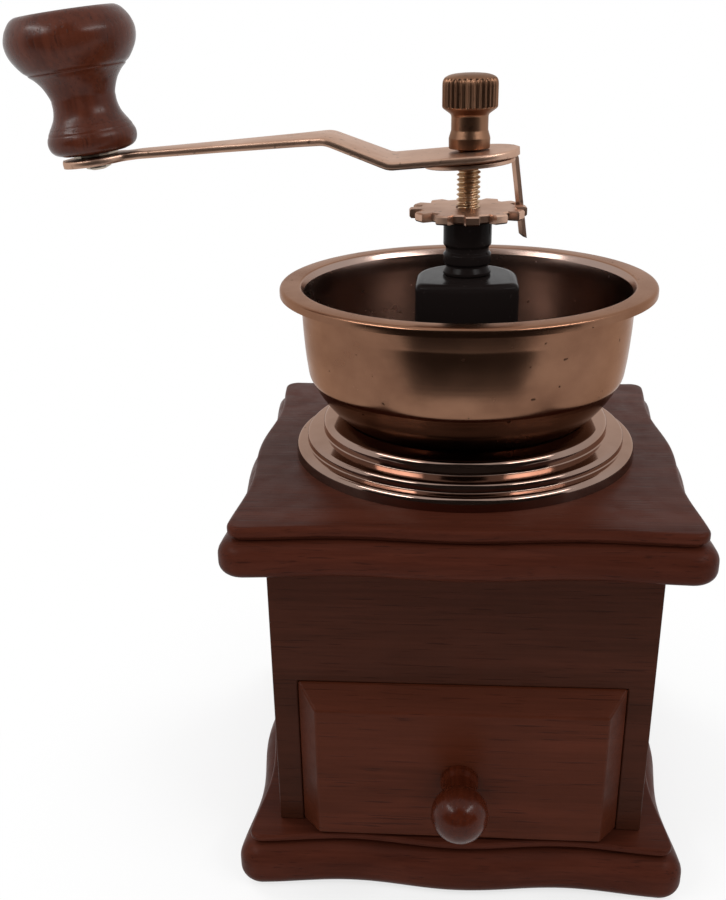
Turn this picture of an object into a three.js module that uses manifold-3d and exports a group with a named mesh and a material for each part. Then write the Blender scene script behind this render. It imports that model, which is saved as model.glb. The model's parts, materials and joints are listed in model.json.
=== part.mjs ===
// Wooden hand mill: a moulded box with a drawer, a spun hopper and a cranked spindle.
// Millimetres, +Z up. The origin is the centre of the base's underside, on the spindle's axis,
// and the drawer opens towards -Y. The crank points towards -X.
import * as THREE from 'three';
import { mergeVertices } from 'three/addons/utils/BufferGeometryUtils.js';
import { ConvexGeometry } from 'three/addons/geometries/ConvexGeometry.js';
import Module from 'manifold-3d';

const wasm = await Module();
wasm.setup();

// Box
const plateHalf = 62.1;
const lidWave = 0.95;
const baseWave = 1.3;
const wavesPerSide = 1.85;
const plateCorner = 6.8;
const baseNose = 13.1;
const baseHeight = 16.2;
const baseStep = 3.4;
const lidNose = 9.6;
const lidHeight = 13.6;
const lidStep = 2.8;
const lipRound = 1.5;
const bodyHalf = 51.7;
const bodyHeight = 84;
const wall = 6.9;

// Drawer
const drawerGap = 0.8;
const drawerTop = 63;
const drawerProud = 6.5;
const drawerBevel = 5.2;
const drawerFrontInset = 6;
const drawerSideWall = 5;
const drawerSideHeight = 38;
const drawerFloor = 3;
const drawerRearGap = 2;
const knobCentreHeight = 37;
const knobBall = 7.6;
const knobReach = 14.3;
const knobNeck = 4.2;
const knobFoot = 5.6;
const knobFootHeight = 1.4;
const knobScrewRadius = 1.8;
const knobScrewHead = 4;
const knobScrewHeadHeight = 2;
const knobScrewDepth = 9;

// Hopper
const brimFoot = 48.8;
const brimRadius = 48.6;
const brimHeight = 3.7;
const stepRadius = 45.5;
const stepHeight = 2.6;
const topStepRadius = 40.7;
const topStepHeight = 4;
const ringRound = 0.9;
const ringSlope = 0.2;
const collarWall = 0.9;
const neckRadius = 34.9;
const bowlWall = 1;
const rimRadius = 51.7;
const rimOpening = 46.7;
const rimHeight = 45.6;
const rimRoll = 2.2;
const floorHole = 17.5;

// Burrs
const lidHole = 20.4;
const burrFlange = 27;
const burrFlangeHeight = 3;
const burrBody = 19.6;
const burrDrop = 7.5;
const burrThroat = 14.7;
const burrThroatHeight = 5.5;
const burrSkirt = 15.5;
const coneTop = 8;
const coneSkirt = 14.4;
const coneRim = 13.2;
const coneRimHeight = 1.4;
const burrTooth = 0.9;
const coneTeeth = 14;
const coneTwist = 0.5;
const ringTeeth = 18;

// Bridge and its bearing
const bridgeHeight = 46.3;
const bridgeWall = 2.5;
const bridgeHalf = 13.9;
const bridgeFront = 13.4;
const bridgeBow = 2.2;
const bridgeHeadRoom = 9;
const windowBack = 8;
const footHalf = 7;
const footReach = 27.4;
const tubeShank = 5.75;
const tubeDrop = 14.3;
const tubeRadius = 6.55;
const tubeNeckHeight = 2.4;
const tubeRingHeight = 3.7;
const tubeGrooveHeight = 1.3;
const tubeHeight = 14.5;
const tubeChamfer = 0.6;
const tubeBore = 4.65;
const bushLength = 8;

// Spindle
const shaftRadius = 3.175;
const shaftFlat = 2.6;
const shaftCollar = 5.8;
const shaftCollarHeight = 2;
const runFit = 0.13;
const pressFit = 0.05;
const seatGap = 0.15;
const turnGap = 0.3;
const thrustRadius = 6.4;
const thrustHeight = 0.8;
const springRadius = 5.7;
const springWire = 1.2;
const springTurns = 8;
const burrWasherRadius = 7;
const burrWasherHeight = 1.2;
const burrNutHalf = 5;
const burrNutHeight = 5;
const shaftTail = 3;

// Grind disc
const discRadius = 16.5;
const discValley = 12.9;
const discHeight = 2.4;
const discTeeth = 12;
const notchFit = 0.5;
const notchFlare = 0.4;

// Crank
const crankTilt = 3.9;
const padTilt = 2.97;
const hubHeight = 14.5;
const armThickness = 2;
const hubRadius = 13.2;
const armRise = 7.3;
const firstBend = 20.5;
const secondBend = 36.5;
const bendHalf = 12.7;
const crookHalf = 11;
const armTipHalf = 4.8;
const padBend = 88;
const padCentre = 100.2;
const padRadius = 9.4;
const bendRadius = 3;
const clipThickness = 1.1;
const clipRadius = 12;
const clipReach = 13.3;
const clipTurn = 20;
const fingerHalf = 1.4;
const fingerLength = 22.4;
const fingerLean = 4.5;
const flatFit = 0.2;

// Cap nut
const capFoot = 5.4;
const capWaist = 4.85;
const capRadius = 7.25;
const capHeight = 18.5;
const capLift = 0.6;
const capBoreDepth = 12.6;
const capFlutes = 20;
const capFlute = 0.45;
const shaftInCap = 12;

// Crank knob
const gripHeight = 35;
const gripHead = 16.94;
const gripFoot = 12;
const gripWaist = 8.57;
const pinRadius = 2;
const pinFit = 0.2;
const pinHead = 3.9;
const pinHeadHeight = 1.8;
const pinRecess = 4.6;
const pinRecessDepth = 2.6;
const rivetRadius = 3.4;
const rivetHeight = 1.2;
const knobWasherRadius = 6;
const knobWasherHeight = 0.5;
const washerGap = 0.25;

// Wood screws
const screwRadius = 1.7;
const screwHead = 3.5;
const screwHeadHeight = 2.1;
const screwLength = 12;
const screwTip = 3;
const screwFit = 0.2;
const baseScrewLength = 28;
const baseScrewInset = 14;
const hopperScrewCircle = 23.8;

// Overrun of a cutter past the faces that it opens
const overrun = 2;

// Roundness, in segments
const roundSegments = 32;
const turnedSegments = 24;
const smallSegments = 14;
const boreSegments = 20;
const screwSegments = 10;

// Levels, measured up from the underside of the base
const bodyTop = baseHeight + bodyHeight;
const lidTop = bodyTop + lidHeight;
const floorUnder = lidTop + burrFlangeHeight;
const floorTop = floorUnder + bowlWall;
const brimTop = lidTop + brimHeight;
const stepTop = brimTop + stepHeight;
const topStepTop = stepTop + topStepHeight;
const collarInner = neckRadius + turnGap;
const collarTop = topStepTop + ringSlope * (topStepRadius - ringRound - collarInner);
const rimTop = floorUnder + rimHeight;
const bridgeTop = floorTop + bridgeHeight;
const tubeTop = bridgeTop + tubeHeight;
const tubeBottom = bridgeTop - tubeDrop;
const discBottom = tubeTop + seatGap + thrustHeight + seatGap;
const discTop = discBottom + discHeight;
const armTop = discTop + hubHeight;
const capBottom = armTop + capLift;
const shaftTop = capBottom + shaftInCap;
const burrTop = lidTop + burrFlangeHeight;
const burrBottom = bodyTop - burrDrop;
const coneBottom = burrBottom - coneRimHeight;
const coneHeadTop = lidTop - seatGap;
const collarBottom = coneHeadTop + turnGap;
const nutTop = coneBottom - turnGap - burrWasherHeight - turnGap;
const shaftBottom = nutTop - burrNutHeight - shaftTail;
const drawerBottom = baseHeight + drawerGap;
const innerHalf = bodyHalf - wall;

const wood = (name, tint) => material(name, tint, 0.42, 0);
const lidWood = wood('lid wood', 0x5f2f22);
const bodyWood = wood('body wood', 0x3d211a);
const drawerWood = wood('drawer wood', 0x50281c);
const plainWood = wood('plain wood', 0xb98f5e);
const turnedWood = wood('turned wood', 0x5b2a1c);
const bronze = material('bronze', 0x9a7564, 0.3, 1);
const darkBronze = material('dark bronze', 0x6b4b3a, 0.3, 1);
const black = material('black enamel', 0x0d0c0e, 0.15, 0);
const steel = material('steel', 0xa49a86, 0.35, 1);
const iron = material('burr iron', 0x55524f, 0.5, 1);
const brass = material('bush bronze', 0xb0894f, 0.4, 1);

function material(name, color, roughness, metalness) {
  return new THREE.MeshStandardMaterial({ name, color, roughness, metalness });
}

// Solids and booleans

function faceOutward(geometry) {
  const position = geometry.attributes.position;
  const index = geometry.index.array;
  const a = new THREE.Vector3();
  const b = new THREE.Vector3();
  const c = new THREE.Vector3();
  let volume = 0;
  for (let i = 0; i < index.length; i += 3) {
    a.fromBufferAttribute(position, index[i]);
    b.fromBufferAttribute(position, index[i + 1]);
    c.fromBufferAttribute(position, index[i + 2]);
    volume += a.dot(b.cross(c));
  }
  if (volume < 0) {
    for (let i = 0; i < index.length; i += 3) {
      [index[i], index[i + 1]] = [index[i + 1], index[i]];
    }
  }
  return geometry;
}

function closed(geometry) {
  const bare = geometry.clone();
  bare.deleteAttribute('normal');
  bare.deleteAttribute('uv');
  return faceOutward(mergeVertices(bare));
}

function solid(geometry) {
  const bare = closed(geometry);
  const vertProperties = new Float32Array(bare.attributes.position.array);
  const triVerts = new Uint32Array(bare.index.array);
  return new wasm.Manifold(new wasm.Mesh({ numProp: 3, vertProperties, triVerts }));
}

function geometryOf(manifold) {
  const mesh = manifold.getMesh();
  const geometry = new THREE.BufferGeometry();
  geometry.setAttribute('position', new THREE.BufferAttribute(new Float32Array(mesh.vertProperties), 3));
  geometry.setIndex(new THREE.BufferAttribute(new Uint32Array(mesh.triVerts), 1));
  return geometry;
}

function joined(...geometries) {
  return geometryOf(geometries.map(solid).reduce((sum, next) => sum.add(next)));
}

function cut(geometry, ...cutters) {
  return geometryOf(cutters.map(solid).reduce((rest, next) => rest.subtract(next), solid(geometry)));
}

function common(first, second) {
  return geometryOf(solid(first).intersect(solid(second)));
}

// Shapes

// A box between two corners, given as [x, y, z] lists.
function block(low, high) {
  const size = high.map((value, axis) => value - low[axis]);
  const middle = high.map((value, axis) => (value + low[axis]) / 2);
  return new THREE.BoxGeometry(...size).translate(...middle);
}

// A solid of revolution about Z from [radius, height] points that start and end on the axis.
function turned(points, segments = turnedSegments) {
  const profile = points.map(([radius, height]) => new THREE.Vector2(radius, height));
  return new THREE.LatheGeometry(profile, segments).rotateX(Math.PI / 2);
}

// A ring of revolution about Z, whose profile closes on itself.
function ring(points, segments = turnedSegments) {
  return turned([...points, points[0]], segments);
}

function rod(radius, bottom, top, segments = smallSegments) {
  return turned([[0, bottom], [radius, bottom], [radius, top], [0, top]], segments);
}

function sleeve(outer, inner, bottom, top, segments = smallSegments) {
  return ring([[inner, bottom], [outer, bottom], [outer, top], [inner, top]], segments);
}

// A plate in the XY plane between two heights.
function plate(shape, bottom, top) {
  return new THREE.ExtrudeGeometry(shape, { depth: top - bottom, bevelEnabled: false, curveSegments: 12 })
    .translate(0, 0, bottom);
}

// A plate drawn in the XZ plane, between two places along Y.
function uprightPlate(shape, front, back) {
  return new THREE.ExtrudeGeometry(shape, { depth: back - front, bevelEnabled: false, curveSegments: 12 })
    .rotateX(Math.PI / 2)
    .translate(0, back, 0);
}

// Moves each point of a turned solid out or in, by its angle and its height.
function rippled(geometry, offset) {
  const position = geometry.attributes.position;
  for (let i = 0; i < position.count; i += 1) {
    const x = position.getX(i);
    const y = position.getY(i);
    const radius = Math.hypot(x, y);
    if (radius > 0) {
      const share = 1 + offset(Math.atan2(y, x), position.getZ(i), radius) / radius;
      position.setX(i, x * share);
      position.setY(i, y * share);
    }
  }
  return geometry;
}

// Moulded plates

// A square outline whose sides wave in and out, with round corners on the crests.
function waveOutline(half, corner, wave) {
  const out = (share) => half + wave * Math.cos(Math.PI * wavesPerSide * share);
  const reach = out(1) - corner;
  const sideSteps = 12;
  const cornerSteps = 3;
  const points = [];
  for (let side = 0; side < 4; side += 1) {
    const turn = (side * Math.PI) / 2;
    const place = (along, away) => points.push(new THREE.Vector2(
      away * Math.cos(turn) - along * Math.sin(turn),
      away * Math.sin(turn) + along * Math.cos(turn),
    ));
    for (let i = 0; i < sideSteps; i += 1) {
      const share = 2 * i / sideSteps - 1;
      place(reach * share, out(share));
    }
    for (let i = 0; i < cornerSteps; i += 1) {
      const angle = (Math.PI / 2) * (i / cornerSteps);
      place(reach + corner * Math.sin(angle), reach + corner * Math.cos(angle));
    }
  }
  return new THREE.Shape(points);
}

// A board with rounded edges between two heights.
function roundedBoard(outline, bottom, top, round, steps) {
  return new THREE.ExtrudeGeometry(outline, {
    depth: top - bottom - round - round,
    bevelThickness: round,
    bevelSize: round,
    bevelOffset: -round,
    bevelSegments: steps,
  }).translate(0, 0, bottom + round);
}

// The rounded tier with the narrower lip that stands on it.
function mouldedPlate(bottom, nose, height, step, wave) {
  const noseShare = 0.47;
  const noseSteps = 3;
  const lipSteps = 2;
  const noseOutline = waveOutline(plateHalf, plateCorner, wave);
  const noseBoard = roundedBoard(noseOutline, bottom, bottom + nose, nose * noseShare, noseSteps);
  const lipOutline = waveOutline(plateHalf - step, plateCorner - step, wave);
  const lip = roundedBoard(lipOutline, bottom + nose / 2, bottom + height, lipRound, lipSteps);
  return joined(noseBoard, lip);
}

function basePlate() {
  const holes = baseScrewPlaces().flatMap(([x, y]) => [
    rod(screwRadius + screwFit, -overrun, baseHeight + overrun, screwSegments).translate(x, y, 0),
    rod(screwHead + screwFit, -overrun, screwHeadHeight + screwFit + screwFit, screwSegments).translate(x, y, 0),
  ]);
  return cut(mouldedPlate(0, baseNose, baseHeight, baseStep, baseWave), ...holes);
}

function baseScrewPlaces() {
  const x = bodyHalf - wall / 2;
  const y = bodyHalf - baseScrewInset;
  return [[-x, -y], [x, -y], [-x, y], [x, y]];
}

function lid() {
  const board = mouldedPlate(bodyTop, lidNose, lidHeight, lidStep, lidWave);
  const holes = hopperScrewPlaces().map(([x, y]) => (
    rod(screwRadius + screwFit, lidTop - screwLength, lidTop + overrun, screwSegments).translate(x, y, 0)));
  return cut(board, rod(lidHole, bodyTop - overrun, lidTop + overrun, roundSegments), ...holes);
}

// Box panels

function frontPanel() {
  const opening = innerHalf;
  const top = drawerTop + drawerGap;
  const outline = new THREE.Shape([
    [-bodyHalf, baseHeight], [-opening, baseHeight], [-opening, top], [opening, top],
    [opening, baseHeight], [bodyHalf, baseHeight], [bodyHalf, bodyTop], [-bodyHalf, bodyTop],
  ].map(([x, y]) => new THREE.Vector2(x, y)));
  return uprightPlate(outline, -bodyHalf, -innerHalf);
}

function backPanel() {
  return block([-bodyHalf, innerHalf, baseHeight], [bodyHalf, bodyHalf, bodyTop]);
}

function sidePanel(side) {
  const board = block([innerHalf, -innerHalf, baseHeight], [bodyHalf, innerHalf, bodyTop]);
  const middle = innerHalf + wall / 2;
  const bore = screwRadius + screwFit;
  const holes = baseScrewPlaces().filter(([x]) => x > 0).map(([, y]) => (
    rod(bore, baseHeight - overrun, baseScrewLength + overrun, screwSegments).translate(middle, y, 0)));
  return cut(board, ...holes).rotateZ(side > 0 ? 0 : Math.PI);
}

// Drawer

const drawerHalf = innerHalf - drawerGap;
const drawerFace = -bodyHalf - drawerProud;
const drawerFrontBack = -bodyHalf + drawerFrontInset;
const drawerRear = innerHalf - drawerRearGap;

function drawerFront() {
  const corners = [];
  const rectangle = (half, top, y) => {
    for (const x of [-half, half]) {
      for (const z of [drawerBottom, top]) {
        corners.push(new THREE.Vector3(x, y, z));
      }
    }
  };
  rectangle(drawerHalf, drawerTop, drawerFrontBack);
  rectangle(drawerHalf, drawerTop, -bodyHalf);
  rectangle(drawerHalf - drawerBevel, drawerTop - drawerBevel, drawerFace);
  const hole = rod(knobScrewRadius + screwFit, drawerFace - overrun, drawerFrontBack + overrun);
  return cut(new ConvexGeometry(corners), alongY(hole));
}

// Turns a solid made about Z so that its axis runs along Y at the drawer knob's height.
function alongY(geometry) {
  return geometry.rotateX(-Math.PI / 2).translate(0, 0, knobCentreHeight);
}

function drawerSide(side) {
  const inner = drawerHalf - drawerSideWall;
  const top = drawerBottom + drawerSideHeight;
  const low = [side > 0 ? inner : -drawerHalf, drawerFrontBack, drawerBottom];
  const high = [side > 0 ? drawerHalf : -inner, drawerRear, top];
  return block(low, high);
}

function drawerBack() {
  const inner = drawerHalf - drawerSideWall;
  const top = drawerBottom + drawerSideHeight;
  return block([-inner, drawerRear - drawerSideWall, drawerBottom], [inner, drawerRear, top]);
}

function drawerBoard() {
  const inner = drawerHalf - drawerSideWall;
  const low = [-inner, drawerFrontBack, drawerBottom];
  return block(low, [inner, drawerRear - drawerSideWall, drawerBottom + drawerFloor]);
}

// The turned ball, its neck and its foot, along Z from the foot up; placed along -Y.
function drawerKnob() {
  const neckEnd = knobReach - Math.sqrt(knobBall ** 2 - knobNeck ** 2);
  const start = Math.asin(knobNeck / knobBall);
  const ballSteps = 8;
  const ball = Array.from({ length: ballSteps }, (_, i) => {
    const angle = start + (Math.PI - start) * ((i + 1) / ballSteps);
    return [i + 1 === ballSteps ? 0 : knobBall * Math.sin(angle), knobReach - knobBall * Math.cos(angle)];
  });
  const profile = [
    [0, 0], [knobFoot, 0], [knobFoot, knobFootHeight / 2], [knobNeck, knobFootHeight],
    [knobNeck, neckEnd], ...ball,
  ];
  const body = turned(profile, smallSegments);
  const bore = rod(knobScrewRadius + screwFit, -overrun, knobScrewDepth + screwFit, smallSegments);
  return alongY(cut(body, bore).rotateX(Math.PI).translate(0, 0, drawerFace - seatGap));
}

function drawerKnobScrew() {
  const tip = drawerFace - knobScrewDepth;
  const head = drawerFrontBack + seatGap;
  return alongY(turned([
    [0, tip], [knobScrewRadius, tip], [knobScrewRadius, head],
    [knobScrewHead, head], [knobScrewHead, head + knobScrewHeadHeight / 2],
    [knobScrewHead / 2, head + knobScrewHeadHeight], [0, head + knobScrewHeadHeight],
  ], smallSegments));
}

// Hopper

// The spun collar of three rings that rises from the lid to the bowl. Each ring's top slopes up inwards.
function collar() {
  const brimFar = brimTop + ringSlope * (brimRadius - ringRound - stepRadius);
  const stepFar = stepTop + ringSlope * (stepRadius - ringRound - topStepRadius);
  const outside = [
    [brimFoot, lidTop], [brimRadius, brimTop - ringRound], [brimRadius - ringRound, brimTop],
    [stepRadius, brimFar], [stepRadius, stepTop - ringRound], [stepRadius - ringRound, stepTop],
    [topStepRadius, stepFar], [topStepRadius, topStepTop - ringRound],
    [topStepRadius - ringRound, topStepTop], [collarInner, collarTop],
  ];
  const inside = [
    [collarInner, collarTop - collarWall], [topStepRadius - collarWall, topStepTop - collarWall],
    [topStepRadius - collarWall, stepFar - collarWall], [stepRadius - collarWall, stepTop - collarWall],
    [stepRadius - collarWall, brimFar - collarWall], [brimRadius - collarWall, brimTop - collarWall],
    [brimFoot - collarWall, lidTop],
  ];
  return ring([...outside, ...inside], roundSegments);
}

// Outside of the bowl's wall: shares of the rise from the collar to the rim, and of the opening.
const bowlShares = [
  [0.036, 0.765], [0.076, 0.797], [0.116, 0.824], [0.156, 0.849], [0.196, 0.87], [0.236, 0.889], [0.283, 0.91],
  [0.33, 0.928], [0.4, 0.937], [0.5, 0.946], [0.664, 0.955], [0.798, 0.959], [0.918, 0.964],
];

function bowl() {
  const rise = rimTop - collarTop;
  const under = collarTop + seatGap;
  const opening = rimOpening + bowlWall;
  const outer = bowlShares.map(([up, out]) => [opening * out, under + rise * up]);
  const inner = outer.map(([radius, height]) => [radius - bowlWall, height + bowlWall / 2]).reverse();
  const lipUnder = rimTop - bowlWall;
  const profile = [
    [floorHole, floorUnder + seatGap], [neckRadius, floorUnder + seatGap], [neckRadius, under], ...outer,
    [opening, lipUnder], [rimRadius - bowlWall, lipUnder], [rimRadius - bowlWall, rimTop - rimRoll],
    [rimRadius, rimTop - rimRoll], [rimRadius, rimTop - bowlWall / 2], [rimRadius - bowlWall / 2, rimTop],
    [rimOpening, rimTop], ...inner, [neckRadius - bowlWall, under + bowlWall / 2],
    [neckRadius - bowlWall, floorTop], [floorHole, floorTop],
  ];
  const holes = hopperScrewPlaces().map(([x, y]) => (
    rod(screwRadius + screwFit, floorUnder - overrun, floorTop + overrun, screwSegments).translate(x, y, 0)));
  return cut(ring(profile, roundSegments), ...holes);
}

function hopperScrewPlaces() {
  const reach = hopperScrewCircle;
  return [[0, -reach], [0, reach], [-reach, 0], [reach, 0]];
}

// Burrs

function toothed(geometry, teeth, depth, twist, from) {
  return rippled(geometry, (angle, height, radius) => {
    const phase = Math.cos(teeth * (angle + twist * (height - from)));
    return radius > shaftCollar ? depth * (phase - 1) / 2 : 0;
  });
}

// The fixed ring burr: a flange on the lid and a toothed throat through it.
function ringBurr() {
  const throatBottom = burrBottom + burrThroatHeight;
  const outer = ring([
    [floorHole - burrTooth, burrBottom], [burrBody, burrBottom], [burrBody, lidTop + seatGap],
    [burrFlange, lidTop + seatGap], [burrFlange, burrTop], [floorHole - burrTooth, burrTop],
  ], roundSegments);
  const throat = toothed(turned([
    [0, burrBottom - overrun], [burrSkirt + burrTooth, burrBottom - overrun],
    [burrSkirt + burrTooth, burrBottom], [burrThroat + burrTooth, throatBottom],
    [floorHole, lidTop], [floorHole, burrTop + overrun], [0, burrTop + overrun],
  ], ringTeeth * 3), ringTeeth, burrTooth, 0, burrBottom);
  const holes = hopperScrewPlaces().map(([x, y]) => (
    rod(screwRadius + screwFit, lidTop - overrun, burrTop + overrun, screwSegments).translate(x, y, 0)));
  const blank = joined(outer, sleeve(floorHole, burrThroat - burrTooth, burrBottom, burrTop, roundSegments));
  return cut(blank, throat, ...holes);
}

// The turning burr: a toothed cone that widens downwards.
function coneBurr() {
  const skirtTop = burrBottom + burrThroatHeight;
  const twistPerHeight = coneTwist / (coneHeadTop - coneBottom);
  const body = turned([
    [0, coneBottom], [coneRim, coneBottom], [coneSkirt, burrBottom],
    [coneSkirt - burrTooth, skirtTop], [(coneSkirt + coneTop) / 2, (skirtTop + coneHeadTop) / 2],
    [coneTop, coneHeadTop], [0, coneHeadTop],
  ], coneTeeth * 4);
  const bore = rod(shaftRadius + runFit, coneBottom - overrun, coneHeadTop + overrun, boreSegments);
  return cut(toothed(body, coneTeeth, burrTooth, twistPerHeight, coneBottom), bore);
}

// Bridge over the burrs

// Plan of the bridge: a round back, straight sides and a slightly bowed front.
function bridgeOutline(inset) {
  const half = bridgeHalf - inset;
  const front = bridgeFront - inset;
  const outline = new THREE.Shape();
  outline.moveTo(half, -front);
  outline.absarc(0, 0, half, 0, Math.PI, false);
  outline.lineTo(-half, -front);
  outline.quadraticCurveTo(0, -front - bridgeBow - bridgeBow, half, -front);
  return outline;
}

function bridge() {
  const shell = plate(bridgeOutline(0), floorTop, bridgeTop);
  const hollow = plate(bridgeOutline(bridgeWall), floorTop - overrun, bridgeTop - bridgeWall);
  const windowTop = bridgeTop - bridgeHeadRoom;
  const reach = bridgeHalf + overrun;
  const window = block([-reach, -bridgeFront + bridgeWall, floorTop - overrun], [reach, windowBack, windowTop]);
  const feet = [-1, 1].map((side) => {
    const near = side * (side > 0 ? bridgeHalf - bridgeWall : bridgeFront - bridgeWall / 2);
    const far = side * footReach;
    const low = [-footHalf, Math.min(near, far), floorTop];
    return block(low, [footHalf, Math.max(near, far), floorTop + bridgeWall]);
  });
  const screwBore = screwRadius + screwFit;
  const screwHoles = hopperScrewPlaces().filter(([x]) => x === 0).map(([x, y]) => (
    rod(screwBore, floorTop - overrun, floorTop + bridgeWall + overrun, screwSegments).translate(x, y, 0)));
  const roofUnder = bridgeTop - bridgeWall;
  const tubeHole = rod(tubeShank + pressFit, roofUnder - overrun, bridgeTop + overrun, boreSegments);
  return cut(joined(cut(shell, hollow, window), ...feet), tubeHole, ...screwHoles)
    .translate(0, 0, seatGap);
}

// The turned bearing tube with its two rings above the bridge.
function bearingTube() {
  const seat = bridgeTop + seatGap + seatGap;
  const ringBottom = seat + tubeNeckHeight;
  const ringTop = ringBottom + tubeRingHeight;
  const columnBottom = ringTop + tubeGrooveHeight;
  return ring([
    [tubeBore, tubeBottom], [tubeShank, tubeBottom], [tubeShank, seat], [tubeRadius, seat],
    [tubeRadius, seat + tubeChamfer], [tubeShank, ringBottom],
    [tubeRadius, ringBottom + tubeChamfer], [tubeRadius, ringTop - tubeChamfer], [tubeShank, ringTop],
    [tubeShank, columnBottom], [tubeRadius, columnBottom + tubeChamfer],
    [tubeRadius, tubeTop], [tubeBore, tubeTop],
  ], boreSegments);
}

function bush(bottom) {
  return sleeve(tubeBore - pressFit, shaftRadius + runFit, bottom, bottom + bushLength, boreSegments);
}

// Spindle

// The spindle: a round rod with a shoulder above the burr and two flats at the crank.
function shaft() {
  const shoulderTop = collarBottom + shaftCollarHeight;
  const body = turned([
    [0, shaftBottom], [shaftRadius, shaftBottom], [shaftRadius, collarBottom],
    [shaftCollar, collarBottom], [shaftCollar, shoulderTop], [shaftRadius, shoulderTop],
    [shaftRadius, shaftTop], [0, shaftTop],
  ], boreSegments);
  const flatBottom = armTop - armThickness - turnGap - clipThickness - hubRadius * Math.tan(radians(crankTilt));
  const flats = [-1, 1].map((side) => {
    const near = side * shaftFlat;
    const far = side * (shaftRadius + overrun);
    const low = [-shaftRadius - overrun, Math.min(near, far), flatBottom];
    return block(low, [shaftRadius + overrun, Math.max(near, far), shaftTop + overrun]);
  });
  return cut(body, ...flats);
}

function radians(degrees) {
  return (degrees * Math.PI) / 180;
}

function hexNut(half, bottom, top, bore) {
  const corner = half / Math.cos(Math.PI / 6);
  const body = turned([[0, bottom], [corner, bottom], [corner, top], [0, top]], 6);
  return cut(body, rod(bore, bottom - overrun, top + overrun, boreSegments));
}

class Helix extends THREE.Curve {
  constructor(radius, bottom, top, turns) {
    super();
    Object.assign(this, { radius, bottom, top, turns });
  }

  getPoint(share) {
    const angle = share * this.turns * 2 * Math.PI;
    const height = this.bottom + (this.top - this.bottom) * share;
    return new THREE.Vector3(this.radius * Math.cos(angle), this.radius * Math.sin(angle), height);
  }
}

// Least clear distance between two turns of a helix, measured on points along it.
function leastGap(helix, thickness) {
  const perTurn = 24;
  const points = helix.getPoints(helix.turns * perTurn);
  const distances = points.flatMap((point, i) => (
    points.slice(i + perTurn / 2).map((other) => point.distanceTo(other) - thickness)));
  return Math.min(...distances);
}

// The spring that pushes the turning burr down, away from the fixed one.
function spring() {
  const stepsPerTurn = 8;
  const sides = 5;
  const wire = springWire / 2;
  const bottom = collarBottom + shaftCollarHeight + turnGap + wire;
  const helix = new Helix(springRadius - wire, bottom, tubeBottom - turnGap - wire, springTurns);
  const section = Array.from({ length: sides }, (_, i) => {
    const angle = (i / sides) * 2 * Math.PI;
    return new THREE.Vector2(wire * Math.cos(angle), wire * Math.sin(angle));
  });
  console.log(`spring: least gap between turns ${leastGap(helix, springWire).toFixed(2)} mm`);
  return new THREE.ExtrudeGeometry(new THREE.Shape(section), {
    steps: springTurns * stepsPerTurn,
    extrudePath: helix,
    bevelEnabled: false,
  });
}

// Direction of the clip's finger where it passes the disc, which the crank's tilt moves outwards.
function fingerBearing() {
  const drop = hubHeight + discHeight / 2;
  const turn = radians(clipTurn);
  const out = clipReach - clipThickness / 2 + drop * Math.sin(radians(fingerLean));
  return Math.atan2(out * Math.sin(turn), out * Math.cos(turn) + drop * Math.sin(radians(crankTilt)));
}

// The toothed grind disc, whose valleys take the finger of the clip.
function grindDisc() {
  const pitch = (2 * Math.PI) / discTeeth;
  const floor = Math.asin((fingerHalf + notchFit) / discValley);
  const mouth = Math.asin((fingerHalf + notchFit + notchFlare) / discRadius);
  const corner = notchFlare / discRadius;
  const points = Array.from({ length: discTeeth }, (_, i) => i * pitch).flatMap((angle) => [
    polar(discValley, angle - floor), polar(discValley, angle + floor),
    polar(discRadius - notchFlare, angle + mouth), polar(discRadius, angle + mouth + corner),
    polar(discRadius, angle + pitch / 2), polar(discRadius, angle + pitch - mouth - corner),
    polar(discRadius - notchFlare, angle + pitch - mouth),
  ]);
  const body = plate(new THREE.Shape(points), discBottom, discTop).rotateZ(fingerBearing());
  return cut(body, rod(shaftRadius + runFit, discBottom - overrun, discTop + overrun, boreSegments));
}

function polar(radius, angle) {
  return new THREE.Vector2(radius * Math.cos(angle), radius * Math.sin(angle));
}

// Crank, drawn flat about the hub's top centre and then tilted as a whole

// A strip bent in the XZ plane along a centre line, as a closed side outline.
function bentStrip(points, thickness) {
  const centre = [];
  const arcSteps = 3;
  points.forEach((point, i) => {
    if (i === 0 || i === points.length - 1) {
      centre.push(point);
      return;
    }
    const before = points[i - 1].clone().sub(point).normalize();
    const after = points[i + 1].clone().sub(point).normalize();
    const bend = Math.PI - Math.acos(before.dot(after));
    const setback = bendRadius * Math.tan(bend / 2);
    const start = point.clone().addScaledVector(before, setback);
    const end = point.clone().addScaledVector(after, setback);
    for (let step = 0; step <= arcSteps; step += 1) {
      const t = step / arcSteps;
      centre.push(new THREE.Vector2(
        (1 - t) ** 2 * start.x + 2 * t * (1 - t) * point.x + t ** 2 * end.x,
        (1 - t) ** 2 * start.y + 2 * t * (1 - t) * point.y + t ** 2 * end.y,
      ));
    }
  });
  const offset = (distance) => centre.map((point, i) => {
    const from = centre[Math.max(i - 1, 0)];
    const to = centre[Math.min(i + 1, centre.length - 1)];
    const along = to.clone().sub(from).normalize();
    return new THREE.Vector2(point.x - along.y * distance, point.y + along.x * distance);
  });
  return new THREE.Shape([...offset(thickness / 2), ...offset(-thickness / 2).reverse()]);
}

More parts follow.
